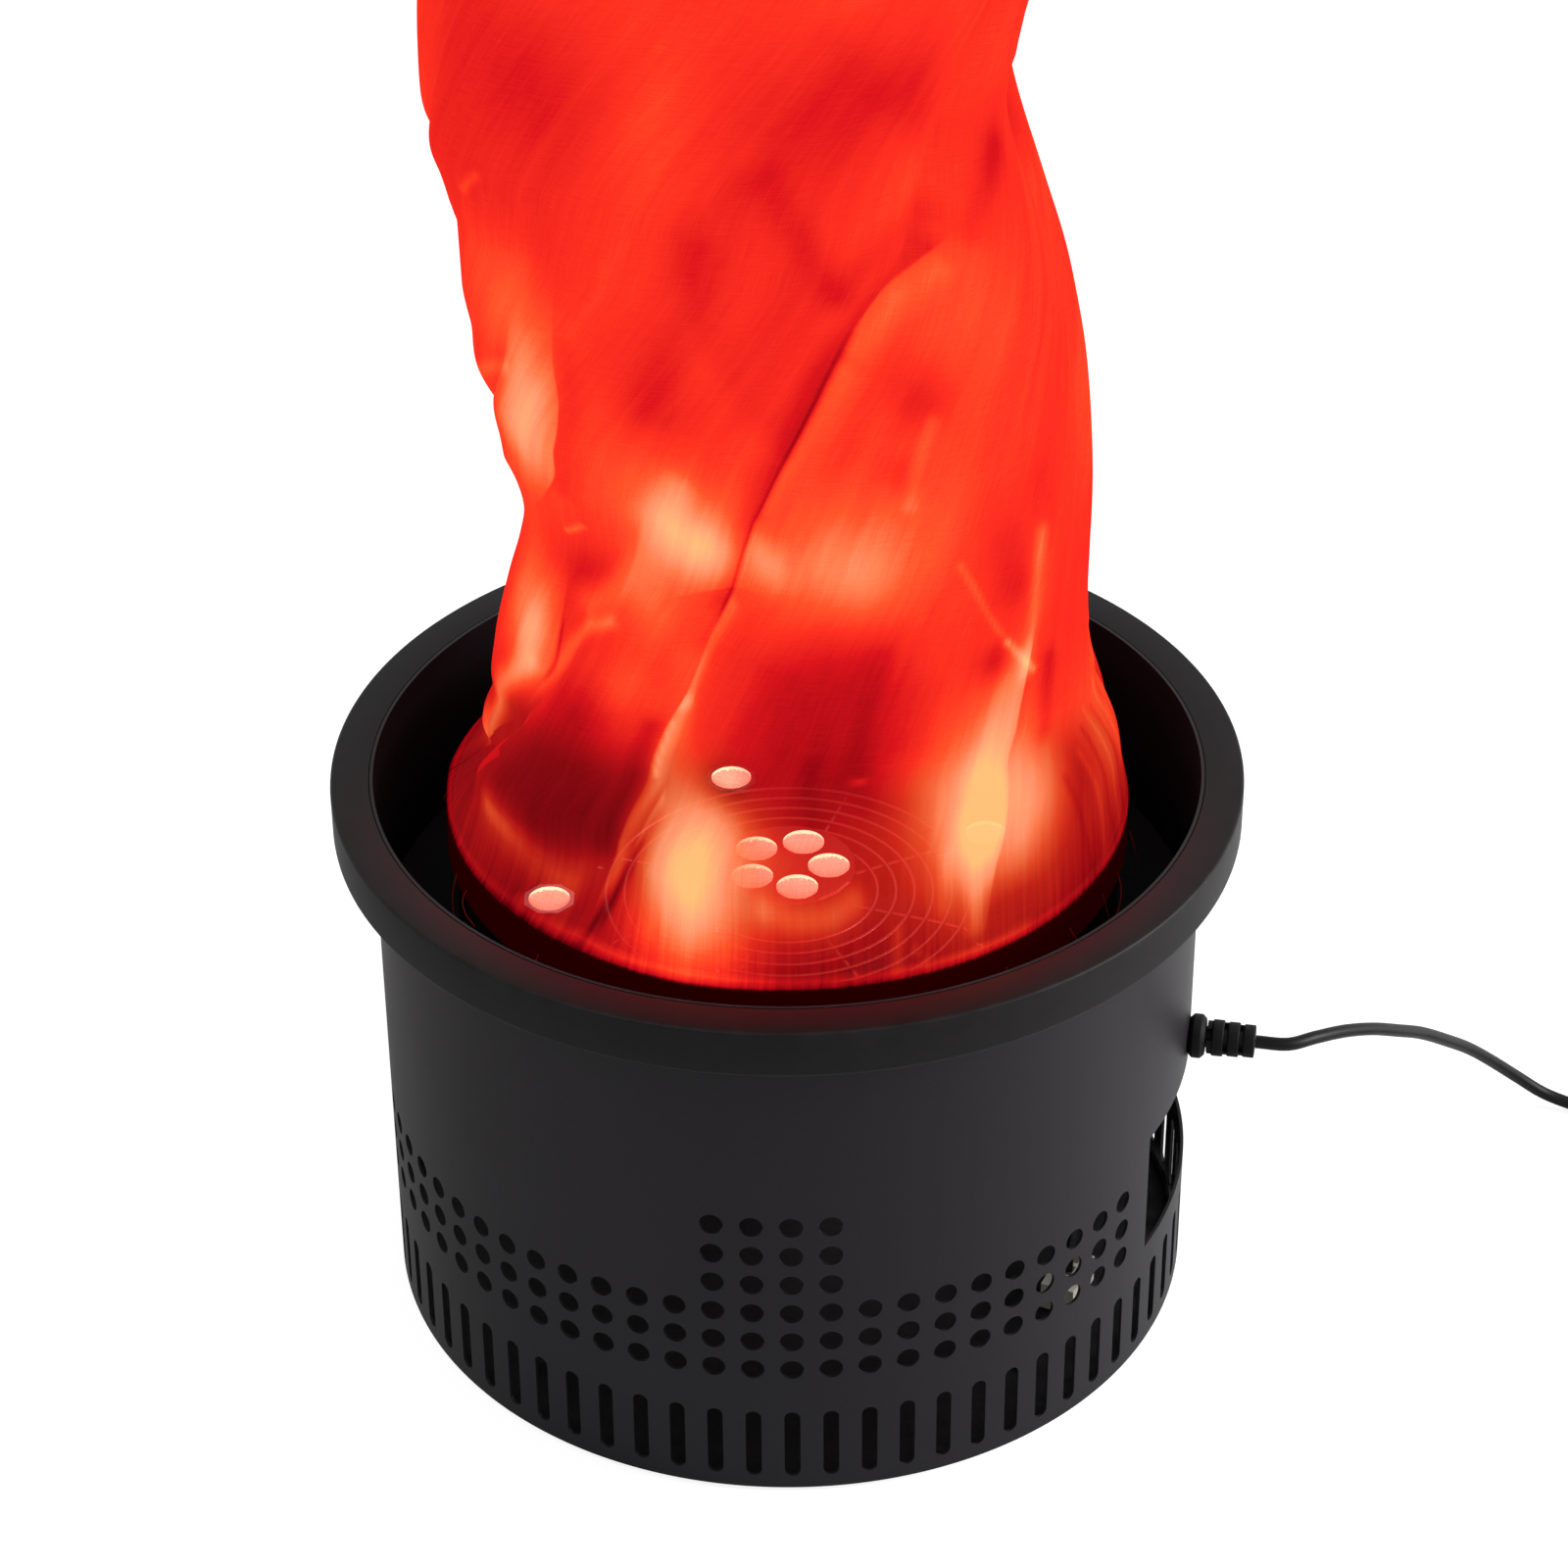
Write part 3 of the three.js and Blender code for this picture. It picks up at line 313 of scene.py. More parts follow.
def new_group(name, inputs, outputs):
    """A shader node group with a Vector input, named values and named outputs."""
    tree = bpy.data.node_groups.new(name, "ShaderNodeTree")
    tree.interface.new_socket("Vector", in_out="INPUT", socket_type="NodeSocketVector")
    for label, value in inputs.items():
        tree.interface.new_socket(label, in_out="INPUT", socket_type="NodeSocketFloat").default_value = value
    for label in outputs:
        tree.interface.new_socket(label, in_out="OUTPUT", socket_type="NodeSocketFloat")
    nodes = Nodes(tree)
    return nodes, nodes.add("NodeGroupInput"), nodes.node("NodeGroupOutput")


def grain_group():
    """Fine grain of a moulded or coated surface: a height, and a tone that drifts over the piece."""
    nodes, given, gives = new_group("surface_grain", {"Grain": 900.0, "Drift": 9.0, "Contrast": 0.2},
                                    ["Height", "Tone"])
    broad = nodes.noise(given["Vector"], given["Drift"], 4.0, 0.55)
    swing = nodes.times(nodes.minus(broad, 0.5), given["Contrast"])
    nodes.feed(gives, {"Height": nodes.noise(given["Vector"], given["Grain"], 3.0, 0.6),
                       "Tone": nodes.plus(swing, 1.0)})
    return nodes.tree


def wear_group():
    """Rubbed edges and settled dust: masks from an edge attribute and from how far a face looks up."""
    nodes, given, gives = new_group("wear_and_dust", {"Edge": 0.0, "Rub": 0.5, "Dust": 0.3},
                                    ["Rubbed", "Dusty"])
    patches = nodes.noise(given["Vector"], 60.0, 5.0, 0.65)
    specks = nodes.noise(given["Vector"], 420.0, 2.0, 0.7)
    edge = nodes.times(given["Edge"], given["Rub"])
    up = nodes.math("POWER", nodes.math("MAXIMUM", nodes.normal()["Z"], 0.0), 3.0)
    settled = nodes.times(up, nodes.times(patches, specks))
    nodes.feed(gives, {"Rubbed": nodes.times(edge, nodes.minus(patches, 0.35, True), True),
                       "Dusty": nodes.times(settled, given["Dust"], True)})
    return nodes.tree


GRAIN = grain_group()
WEAR = wear_group()


def new_material(name):
    made = bpy.data.materials.new(name)
    made.use_nodes = True
    return made, Nodes(made.node_tree), made.node_tree.nodes["Principled BSDF"]


def coated(name, colour, roughness, grain=900.0, bump=0.08, contrast=0.25, shine=0.5, metallic=0.0,
           rub=0.0, rub_colour=(0.2, 0.2, 0.21), dust=0.0, dust_colour=(0.16, 0.15, 0.14)):
    """A hard or moulded finish with grain, drifting tone, rubbed edges and a little dust."""
    made, nodes, shader = new_material(name)
    place = nodes.place()
    look = nodes.add("ShaderNodeGroup", {"Vector": place, "Grain": grain, "Contrast": contrast},
                     node_tree=GRAIN)
    wear = nodes.add("ShaderNodeGroup", {"Vector": place, "Edge": nodes.stored("edge"), "Rub": rub,
                                         "Dust": dust}, node_tree=WEAR)
    base = nodes.blend(1.0, (*colour, 1), look["Tone"], "MULTIPLY")
    dusted = nodes.blend(wear["Dusty"], base, (*dust_colour, 1))
    wide = nodes.span(look["Tone"], 0.85, 1.15, roughness - 0.08, roughness + 0.08)
    nodes.feed(shader, {"Base Color": nodes.blend(wear["Rubbed"], dusted, (*rub_colour, 1)),
                        "Roughness": nodes.plus(wide, nodes.times(wear["Dusty"], 0.3), True),
                        "Normal": nodes.bump(look["Height"], bump, 0.0006),
                        "Metallic": metallic, "Specular IOR Level": shine})
    return made


def brushed(name, colour, roughness, axis=2):
    """Metal with short drawn lines along one axis."""
    made, nodes, shader = new_material(name)
    place = nodes.place()
    stretch = [780.0] * 3
    stretch[axis] = 13.0
    lines = nodes.noise(nodes.scaled(place, stretch), 1.0, 3.0, 0.6)
    tint = nodes.ramp(nodes.noise(place, 25.0, 3.0),
                      [(0.2, [c * 0.82 for c in colour]), (0.8, [min(c * 1.1, 1) for c in colour])])
    nodes.feed(shader, {"Base Color": tint, "Metallic": 1.0,
                        "Roughness": nodes.span(lines, 0.0, 1.0, roughness - 0.1, roughness + 0.12),
                        "Normal": nodes.bump(lines, 0.15, 0.0003)})
    return made


# Glow of a lit lens; its hottest stop is the painted highlight on the edge that leans to the back
LENS_GLOW_AND_HIGHLIGHT_STOPS = [(0.15, (0.62, 0.13, 0.08)), (0.5, (0.75, 0.18, 0.115)), (0.84, (0.85, 0.23, 0.15)),
              (0.94, (1.0, 0.64, 0.38))]


def lit_lens():
    """A pebbled lens over a lamp that is on: warm pink, hottest on the edge that leans to the back, where its
    glow carries a painted highlight.
    """
    made, nodes, shader = new_material("lit_lens")
    pebble = nodes.add("ShaderNodeTexVoronoi", {"Vector": nodes.place(), "Scale": 700.0})["Distance"]
    lean = nodes.span(nodes.normal()["Y"], -0.16, 0.14)
    nodes.feed(shader, {"Emission Color": nodes.ramp(nodes.plus(lean, nodes.times(pebble, 0.20)), LENS_GLOW_AND_HIGHLIGHT_STOPS),
                        "Emission Strength": 3.0, "Base Color": (0.7, 0.4, 0.35, 1), "Roughness": 0.18,
                        "Normal": nodes.bump(pebble, 0.4, 0.0005)})
    return made


GLOW_STOPS = [
    (0.0, (0.012, 0.0, 0.0)), (0.10, (0.17, 0.0, 0.004)), (0.28, (0.70, 0.007, 0.011)),
    (0.40, (0.98, 0.030, 0.014)), (0.52, (1.0, 0.09, 0.024)), (0.63, (1.0, 0.20, 0.07)),
    (0.74, (1.0, 0.31, 0.15)), (0.86, (1.0, 0.42, 0.19)), (1.0, (1.0, 0.56, 0.20)),
]
# The cloth's colour follows the painted light too: darkest where shade is painted, lightest where light is
# painted
CLOTH_STOPS_BY_PAINTED_LIGHT = [(0.0, (0.02, 0.0, 0.0)), (0.5, (0.05, 0.001, 0.001)), (1.0, (0.06, 0.006, 0.004))]
SILK_BRIGHTNESS = 0.8


def lit_silk():
    """Sheer red silk lit from inside: a glow by place, cut at its creases, streaks and a fine weave."""
    made, nodes, shader = new_material("lit_silk")
    cloth = nodes.add("ShaderNodeUVMap", uv_map="cloth")["UV"]

    def pattern(across, along, detail, rough=0.5):
        return nodes.noise(nodes.scaled(cloth, (across, along, 1.0)), 1.0, detail, rough)

    side = nodes.stored("crease_side")
    glow = nodes.add("ShaderNodeMix", {"Factor": nodes.span(side, -0.7, 0.7, kind="SMOOTHSTEP"),
                                       2: nodes.stored("lit_left"), 3: nodes.stored("lit_right")})[0]
    near = nodes.span(nodes.math("ABSOLUTE", side), 0.3, 2.0, 1.0, 0.0, "SMOOTHSTEP")
    glow = nodes.plus(glow, nodes.times(near, nodes.stored("crease_thin")))
    # Streaks and clouds in the glow and the bands of the gathers near the hem are painted light and shade;
    # the weave is the cloth's own pattern
    streak, cloud = pattern(60.0, 4.5, 4.0, 0.6), pattern(13.0, 6.0, 3.0)
    gather = pattern(330.0, 9.0, 3.0, 0.6)
    weave = nodes.times(nodes.plus(pattern(1500.0, 70.0, 2.0), pattern(70.0, 1500.0, 2.0)), 0.5)
    near_hem = nodes.span(nodes.split(cloth)["Y"], 0.028, 0.075, 0.30, 0.05)
    total = glow
    bright = nodes.math("MAXIMUM", nodes.minus(glow, 0.5), 0.0)
    for part, amount in ((streak, 0.7), (cloud, 0.6)):
        total = nodes.plus(total, nodes.times(bright, nodes.times(nodes.minus(part, 0.5), amount)))
    for part, amount in ((streak, 0.11), (cloud, 0.19), (weave, 0.17), (gather, near_hem)):
        total = nodes.plus(total, nodes.times(nodes.minus(part, 0.5), amount))
    total = nodes.times(total, SILK_BRIGHTNESS)
    dim = nodes.span(glow, 0.48, 0.85, 1.0, 0.12)
    open_weave = nodes.times(nodes.times(nodes.stored("sheer"), dim), nodes.plus(0.55, weave), True)
    nodes.feed(shader, {"Emission Color": nodes.ramp(total, GLOW_STOPS), "Emission Strength": 1.0,
                        "Base Color": nodes.ramp(total, CLOTH_STOPS_BY_PAINTED_LIGHT), "Roughness": 0.55,
                        "Specular IOR Level": 0.0, "Alpha": nodes.minus(1.0, open_weave),
                        "Normal": nodes.bump(nodes.plus(streak, weave), 0.25, 0.0012)})
    return made


def redden(material, inner, outer, colour):
    """Adds the silk's red light to the flat top of the ring, fading outwards and to the back."""
    nodes = Nodes(material.node_tree)
    place = nodes.split(nodes.place())
    radius = nodes.math("SQRT", nodes.plus(nodes.times(place["X"], place["X"]),
                                           nodes.times(place["Y"], place["Y"])))
    near = nodes.span(radius, outer * MM, inner * MM, kind="SMOOTHSTEP")
    front = nodes.span(place["Y"], 0.02, -0.20, kind="SMOOTHSTEP")
    up = nodes.span(nodes.normal()["Z"], 0.5, 0.95)
    light = nodes.ramp(nodes.times(nodes.times(near, front), up), [(0.0, (0, 0, 0)), (1.0, colour)])
    nodes.feed(material.node_tree.nodes["Principled BSDF"], {"Emission Color": light,
                                                             "Emission Strength": 1.0})


BLACK_COAT = coated("satin_black_coat", (0.0080, 0.0068, 0.0086), 0.46, grain=1100.0, bump=0.10, shine=0.14,
                    rub=1.2, rub_colour=(0.09, 0.085, 0.09), dust=0.5, dust_colour=(0.06, 0.056, 0.056))
RIM_COAT = coated("rim_black_coat", (0.0034, 0.0027, 0.0030), 0.5, grain=1300.0, bump=0.08, shine=0.12,
                  contrast=0.04, rub=0.35, rub_colour=(0.07, 0.065, 0.07), dust=0.05,
                  dust_colour=(0.05, 0.045, 0.045))
redden(RIM_COAT, 192, 219, (0.038, 0.0, 0.0013))
INNER_COAT = coated("matt_black_paint", (0.0035, 0.003, 0.003), 0.75, grain=1300.0, bump=0.1, shine=0.12,
                    dust=0.4, dust_colour=(0.03, 0.027, 0.027))
BLACK_PLASTIC = coated("moulded_black_plastic", (0.009, 0.009, 0.010), 0.5, grain=2200.0, bump=0.15,
                       shine=0.35)
RUBBER = coated("black_rubber", (0.0030, 0.0028, 0.0031), 0.6, grain=2600.0, bump=0.2, shine=0.12,
                dust=0.5, dust_colour=(0.05, 0.05, 0.05))
CORD_JACKET = coated("cord_jacket", (0.0022, 0.0022, 0.0025), 0.45, grain=3000.0, bump=0.1, shine=0.15)
HOOK_TAPE = coated("hook_tape_pile", (0.012, 0.004, 0.004), 0.95, grain=3500.0, bump=1.0, shine=0.05)
# Plated guard wire, its red tint painted red light from the glowing silk around it
RED_LIT_WIRE = brushed("plated_wire_in_red_light", (0.38, 0.14, 0.12), 0.34)
ALUMINIUM = brushed("turned_aluminium", (0.62, 0.62, 0.64), 0.36)
# Aluminium of the lamp cluster, darkened and reddened with painted red light from the silk
RED_LIT_ALUMINIUM = brushed("aluminium_in_red_light", (0.26, 0.045, 0.04), 0.42)
LED_BOARD = coated("white_lamp_board", (0.72, 0.70, 0.64), 0.4, grain=1500.0, bump=0.05)
WINDING = coated("varnished_winding", (0.34, 0.13, 0.03), 0.35, grain=1800.0, bump=0.6, metallic=0.6)
BEARING_STEEL = brushed("ground_steel", (0.62, 0.63, 0.65), 0.22)
CASE_STEEL = brushed("plated_case_steel", (0.34, 0.345, 0.36), 0.34, axis=0)
SCREW_STEEL = brushed("zinc_screw", (0.58, 0.59, 0.62), 0.3)
WHITE_PLASTIC = coated("terminal_plastic", (0.72, 0.70, 0.62), 0.45, grain=1600.0, bump=0.1)
BRASS = brushed("pin_brass", (0.78, 0.58, 0.26), 0.24, axis=0)
LENS_LIT = lit_lens()
THREAD = coated("red_thread", (0.30, 0.012, 0.010), 0.8, grain=2600.0, bump=0.1, shine=0.1)
SILK = lit_silk()


def ride(made, slot, *nodes, body="housing"):
    if nodes:
        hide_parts(*nodes)
    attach(made, body)
    return made


# Cord, from the strain relief down to the floor and into its storage coil

CORD_ROUTE = [
    (240.2, -43.9, 145.7), (254, -36.4, 143.9), (270, -22.4, 137), (286.6, -6.2, 126), (302, 10.8, 112),
    (317.6, 29.7, 96), (334.2, 48.5, 77), (350.8, 67, 57), (366.5, 80.5, 38), (382.5, 89.5, 20.5),
    (397, 91, 9), (411, 87.5, 4.6), (426, 81.5, 3.5), (442, 75.2, 3.3), (458, 69.6, 3.3),
    (470, 65.6, 3.3),
]
COIL = {"centre": (460, 18), "turns": 2.5, "inner": 26, "pitch": 2 * CORD_RADIUS + 0.5, "azimuth": 55,
        "per_turn": 24, "entry": 6.5, "exit": 21}
RELIEF_LENGTH = 32.4


def coil_path():
    """The coil winds in on the floor, climbs where it turns back and winds out on top."""
    steps = int(2 * COIL["turns"] * COIL["per_turn"])
    heading = polar(1, COIL["azimuth"])
    path = []
    for i in range(steps + 1):
        from_middle = i - steps / 2
        radius = COIL["inner"] + abs(from_middle) / COIL["per_turn"] * COIL["pitch"]
        share = min(max(from_middle / (COIL["per_turn"] / 2) + 0.5, 0), 1)
        angle = math.radians(COIL["azimuth"] - i * 360 / COIL["per_turn"])
        height = CORD_RADIUS + COIL["pitch"] * share * share * (3 - 2 * share)
        path.append(Vector((COIL["centre"][0] + radius * math.cos(angle),
                            COIL["centre"][1] + radius * math.sin(angle), height)))
    return [path[0] - heading * COIL["entry"], *path, path[-1] + heading * COIL["exit"]]


# Strain relief: collar, core, three rings and the webs that tie them together
RELIEF = {"neck": 6.5, "inner": -6.8, "collar": 10.8, "collar_end": 8.3, "bevel": 2, "waist": 5.2,
          "first": 11.5, "ring": 5.6, "rings": 3, "pitch": 7.5, "root": 8.9, "taper": 0.45, "fillet": 0.8,
          "web_half": 24, "web_share": 0.93, "web_sinks": 0.5}


def wedge_shape(radius, middle, half, low, high):
    """A slice of a disc, from its axis to its radius."""
    angles = [math.radians(middle + half * t) for t in np.linspace(-1, 1, 6)]
    ring = [(0.0, 0.0)] + [(radius * math.sin(a), radius * math.cos(a)) for a in angles]
    return [Vector((x, y, h)) for h in (low, high) for x, y in ring], capped_skin(2, len(ring))


def make_relief():
    r = RELIEF
    edge, end, bevel = r["collar"], r["collar_end"], r["bevel"]
    core_end = r["first"] + (r["rings"] - 1) * r["pitch"] + 1
    shapes = [turned_shape([
        (0, r["inner"]), (r["neck"], r["inner"]), (r["neck"], FIT), (edge - bevel, FIT),
        (edge, bevel + FIT, 0.5), (edge, end - bevel, 0.5), (edge - bevel, end, 0.4), (r["waist"], end, 0.4),
        (r["waist"], core_end), (0, core_end)], 48)]
    for k in range(r["rings"]):
        low, radius = r["first"] + k * r["pitch"], r["root"] - k * r["taper"]
        high = low + r["ring"]
        shapes.append(turned_shape([(0, low), (radius, low, r["fillet"]), (radius, high, r["fillet"]),
                                    (0, high)], 40))
        web = (high - r["pitch"] - r["web_sinks"], low + r["web_sinks"])
        for middle in ((45, 135, 225, 315) if k else (0, 90, 180, 270)):
            shapes.append(wedge_shape(radius * r["web_share"], middle, r["web_half"], *web))
    points, faces = joined(shapes)
    out, up = polar(1, GLAND["azimuth"]), Vector((0, 0, 1))
    across = up.cross(out)
    foot = polar(WALL_FLAT, GLAND["azimuth"], GLAND["height"])
    made = piece("relief_sleeve", [foot + across * x + up * y + out * z for x, y, z in points], faces, RUBBER)
    ride(made, "black_rubber", "strain_relief")


def make_cord():
    start = polar(WALL_FLAT + RELIEF_LENGTH, GLAND["azimuth"], GLAND["height"])
    path = curve_through([start, *CORD_ROUTE, *coil_path()], 4)
    made = piece("mains_cord", *tube_shape(path, CORD_RADIUS, 14), CORD_JACKET)
    ride(made, "black_rubber", "cord", "cord_coil")


# Plug at the coil's end: a ribbed neck that widens into a body with finger dips

PLUG_NECK = {"start": 4.4, "thin": 4.6, "widens": 2.3, "length": 30}
PLUG_RIBS = {"count": 6, "first": 3.0, "pitch": 4.2, "groove": 1.5, "slope": 0.2, "deep": 0.9}
PLUG_BODY = [(30, 7.2, 7.0, 2.4), (33, 10.4, 8.6, 3.0), (37, 12.2, 9.6, 3.6), (43, 12.9, 10.1, 4.2),
             (49, 11.9, 10.0, 4.2), (55, 12.6, 10.1, 4.2), (61, 12.9, 10.1, 4.4), (64.5, 12.6, 9.9, 4.4),
             (65.6, 12.0, 9.4, 4.2), (66, 11.2, 8.7, 4.0)]


def make_plug():
    heading, up = polar(1, COIL["azimuth"]), Vector((0, 0, 1))
    neck, ribs = PLUG_NECK, PLUG_RIBS
    sections = [(0, neck["start"], neck["start"], 2)]
    for k in range(ribs["count"]):
        low = ribs["first"] + k * ribs["pitch"]
        high = low + ribs["groove"]
        for place, cut in ((low, 0), (low + ribs["slope"], 1), (high - ribs["slope"], 1), (high, 0)):
            wide = neck["thin"] + neck["widens"] * place / neck["length"] - cut * ribs["deep"]
            sections.append((place, wide, wide, 2))
    points, faces = loft_shape(sections + PLUG_BODY)
    across = up.cross(heading)
    foot = coil_path()[-1] + heading * FIT
    foot.z = CORD_RADIUS + COIL["pitch"]
    made = piece("plug_shell", [foot + heading * x + across * y + up * z for x, y, z in points], faces,
                 RUBBER, crisp=50)
    ride(made, "black_rubber", "plug_body")


# Rubber feet

FOOT_PROFILE = [(0, 0), (10.8, 0, 1.0), (11, 2.7, 0.4), (3.6, 2.7), (3.6, 4.9), (5.8, 4.9, 0.5),
                (3.8, 7.8, 0.5), (0, 7.8)]
FOOT_CIRCLE = 160


def make_feet():
    for k in range(4):
        made = turned(f"foot_pad_{k + 1}", FOOT_PROFILE, RUBBER, 48, at=polar(FOOT_CIRCLE, 45 + 90 * k))
        ride(made, "black_rubber", f"rubber_foot_{k + 1}")


make_relief()
make_plug()
make_cord()
make_feet()


# The wall, from a geometry tree

class ShapeTree(Nodes):
    """A geometry node tree with named inputs that makes one piece."""

    def __init__(self, name, **sizes):
        super().__init__(bpy.data.node_groups.new(name, "GeometryNodeTree"))
        self.sizes = sizes
        face = self.tree.interface
        face.new_socket("Geometry", in_out="INPUT", socket_type="NodeSocketGeometry")
        for label, value in sizes.items():
            kind = "NodeSocketInt" if isinstance(value, int) else "NodeSocketFloat"
            face.new_socket(label, in_out="INPUT", socket_type=kind)
        face.new_socket("Geometry", in_out="OUTPUT", socket_type="NodeSocketGeometry")
        self.given = self.add("NodeGroupInput")
        self.gives = self.node("NodeGroupOutput")

    def vector(self, x=0.0, y=0.0, z=0.0):
        return self.add("ShaderNodeCombineXYZ", {0: x, 1: y, 2: z})[0]

    def position(self):
        return self.split(self.add("GeometryNodeInputPosition")[0])

    def moved(self, geometry, **change):
        return self.add("GeometryNodeTransform", {0: geometry, **change})[0]

    def cylinder(self, sides, radius, depth):
        return self.add("GeometryNodeMeshCylinder", {"Vertices": sides, "Radius": radius, "Depth": depth})[0]

    def placed(self, points, tool, **more):
        """A real copy of a tool at each point."""
        made = self.add("GeometryNodeInstanceOnPoints", {"Points": points, "Instance": tool, **more})[0]
        return self.add("GeometryNodeRealizeInstances", {0: made})[0]

    def finish(self, geometry, material):
        real = self.add("GeometryNodeRealizeInstances", {0: geometry})[0]
        painted = self.add("GeometryNodeSetMaterial", {0: real, "Material": material})[0]
        self.feed(self.gives, {0: painted})

    def make(self, name, crisp):
        """A plain mesh piece of what the tree gives."""
        holder = link(bpy.data.meshes.new(name + "_source"), name + "_holder")
        modifier = holder.modifiers.new("shape", "NODES")
        modifier.node_group = self.tree
        for item in self.tree.interface.items_tree:
            if item.in_out == "INPUT" and item.name in self.sizes:
                modifier[item.identifier] = self.sizes[item.name]
        bpy.context.view_layer.update()
        shown = holder.evaluated_get(bpy.context.evaluated_depsgraph_get())
        mesh = bpy.data.meshes.new_from_object(shown)
        mesh.name = name
        bpy.data.objects.remove(holder)
        finish_mesh(mesh, crisp)
        return link(mesh, name)


def perforated_wall():
    """The drum's sheet with its rows of holes, its slots, the side window and the gland's hole."""
    wall = ShapeTree("perforated_wall", Radius=HOUSING["radius"] * MM, Sheet=HOUSING["sheet"] * MM,
                     Height=HOUSING["height"] * MM, Columns=HOUSING["columns"],
                     HoleRadius=HOLES["radius"] * MM, FirstRow=HOLES["first"] * MM,
                     RowPitch=HOLES["pitch"] * MM, Rows=HOLES["rows"], RaisedRows=HOLES["raised"],
                     SlotWidth=SLOTS["width"] * MM, SlotBottom=SLOTS["bottom"] * MM,
                     SlotTop=SLOTS["top"] * MM)
    add, size = wall.add, wall.given
    stand, depth, facets = HOUSING["stand"] * MM, CUTTER_DEPTH * MM, HOUSING["facets"]
    middle = wall.vector(z=wall.plus(wall.over(size["Height"], 2.0), stand))
    outer = wall.cylinder(facets, size["Radius"], size["Height"])
    within = wall.cylinder(facets, wall.minus(size["Radius"], size["Sheet"]), wall.times(size["Height"], 1.1))
    tube, core = (wall.moved(shape, Translation=middle) for shape in (outer, within))

    def ring_of_spots(height, count=1):
        """Points round the wall, one for each column, in rows that rise by the pitch."""
        circle = add("GeometryNodeMeshCircle", {"Vertices": size["Columns"], "Radius": size["Radius"]})[0]
        line = add("GeometryNodeMeshLine", {"Count": count, "Start Location": wall.vector(z=height),
                                            "Offset": wall.vector(z=size["RowPitch"])})[0]
        return wall.placed(line, wall.moved(circle, Rotation=(0, 0, -math.pi / 2)))

    def cutters(spots, tool, **keep):
        """A tool at each spot, pointing out of the wall."""
        place = wall.position()
        aim = add("FunctionNodeAxesToRotation", {0: wall.vector(place["X"], place["Y"]), 1: (0.0, 0.0, 1.0)},
                  primary_axis="Z", secondary_axis="Y")[0]
        return wall.placed(spots, tool, Rotation=aim, **keep)

    def away_from(azimuth):
        """How far a spot's azimuth is from another one, in degrees."""
        place = wall.position()
        angle = wall.math("ARCTAN2", place["X"], wall.times(place["Y"], -1.0))
        return wall.math("ABSOLUTE", wall.minus(wall.math("DEGREES", angle), azimuth))

    hole = wall.cylinder(20, size["HoleRadius"], depth)
    first = wall.plus(size["FirstRow"], stand)
    clear = wall.math("GREATER_THAN", away_from(WINDOW["azimuth"]), WINDOW["half_angle"] + WINDOW["margin"])
    around = cutters(ring_of_spots(first, size["Rows"]), hole, Selection=clear)
    column = 360 / HOUSING["columns"]
    block_middle = (HOLES["raised_from"] + HOLES["raised_to"]) / 2 * column
    block_half = ((HOLES["raised_to"] - HOLES["raised_from"]) / 2 + 0.5) * column
    in_block = wall.math("LESS_THAN", away_from(block_middle), block_half)
    raised = wall.plus(first, wall.times(size["Rows"], size["RowPitch"]))
    block = cutters(ring_of_spots(raised, size["RaisedRows"]), hole, Selection=in_block)

    end_sides = 18
    slot_end = wall.cylinder(end_sides, wall.over(size["SlotWidth"], 2.0), depth)
    upright = wall.moved(slot_end, Rotation=(0, 0, math.pi / end_sides))
    length = wall.minus(wall.minus(size["SlotTop"], size["SlotBottom"]), size["SlotWidth"])
    shift = wall.times(wall.math("SIGN", wall.position()["Y"]), wall.over(length, 2.0))
    slot = add("GeometryNodeSetPosition", {0: upright, "Offset": wall.vector(y=shift)})[0]
    slot_middle = wall.plus(wall.over(wall.plus(size["SlotTop"], size["SlotBottom"]), 2.0), stand)
    slots = cutters(ring_of_spots(slot_middle), slot)

    gland_place = polar(HOUSING["radius"], GLAND["azimuth"], GLAND["height"]) * MM
    gland_spot = add("GeometryNodeMeshLine", {"Count": 1, "Start Location": gland_place})[0]
    gland_hole = cutters(gland_spot, wall.cylinder(24, GLAND["hole"] * MM, depth))

    window = window_cutter()
    opening = add("GeometryNodeObjectInfo", {"Object": window}, transform_space="RELATIVE")["Geometry"]
    cut = add("GeometryNodeMeshBoolean", {
        "Mesh 1": tube, "Mesh 2": [core, around, block, slots, gland_hole, opening],
    }, operation="DIFFERENCE", solver="MANIFOLD")[0]
    wall.finish(cut, BLACK_COAT)
    made = wall.make("perforated_wall", crisp=28)
    bpy.data.objects.remove(window)
    return made


def window_cutter():
    """A wedge through the wall where the side window is."""
    steps = 24
    row = steps + 1
    ends = [polar(HOUSING["radius"] + past, WINDOW["azimuth"] + WINDOW["half_angle"] * (2 * i / steps - 1),
                  HOUSING["stand"] + height)
            for height in (WINDOW["bottom"], WINDOW["top"]) for past in (-6, 6) for i in range(row)]
    faces = []
    for i in range(steps):
        faces.append((i, i + 1, row + i + 1, row + i))
        faces.append((2 * row + i, 3 * row + i, 3 * row + i + 1, 2 * row + i + 1))
        faces.append((i, 2 * row + i, 2 * row + i + 1, i + 1))
        faces.append((row + i, row + i + 1, 3 * row + i + 1, 3 * row + i))
    faces.append((0, row, 3 * row, 2 * row))
    faces.append((steps, 2 * row + steps, 3 * row + steps, row + steps))
    return piece("window_cutter", ends, faces, BLACK_COAT)


ride(perforated_wall(), "black_steel", "housing_wall")


# Turned sheet and plate pieces

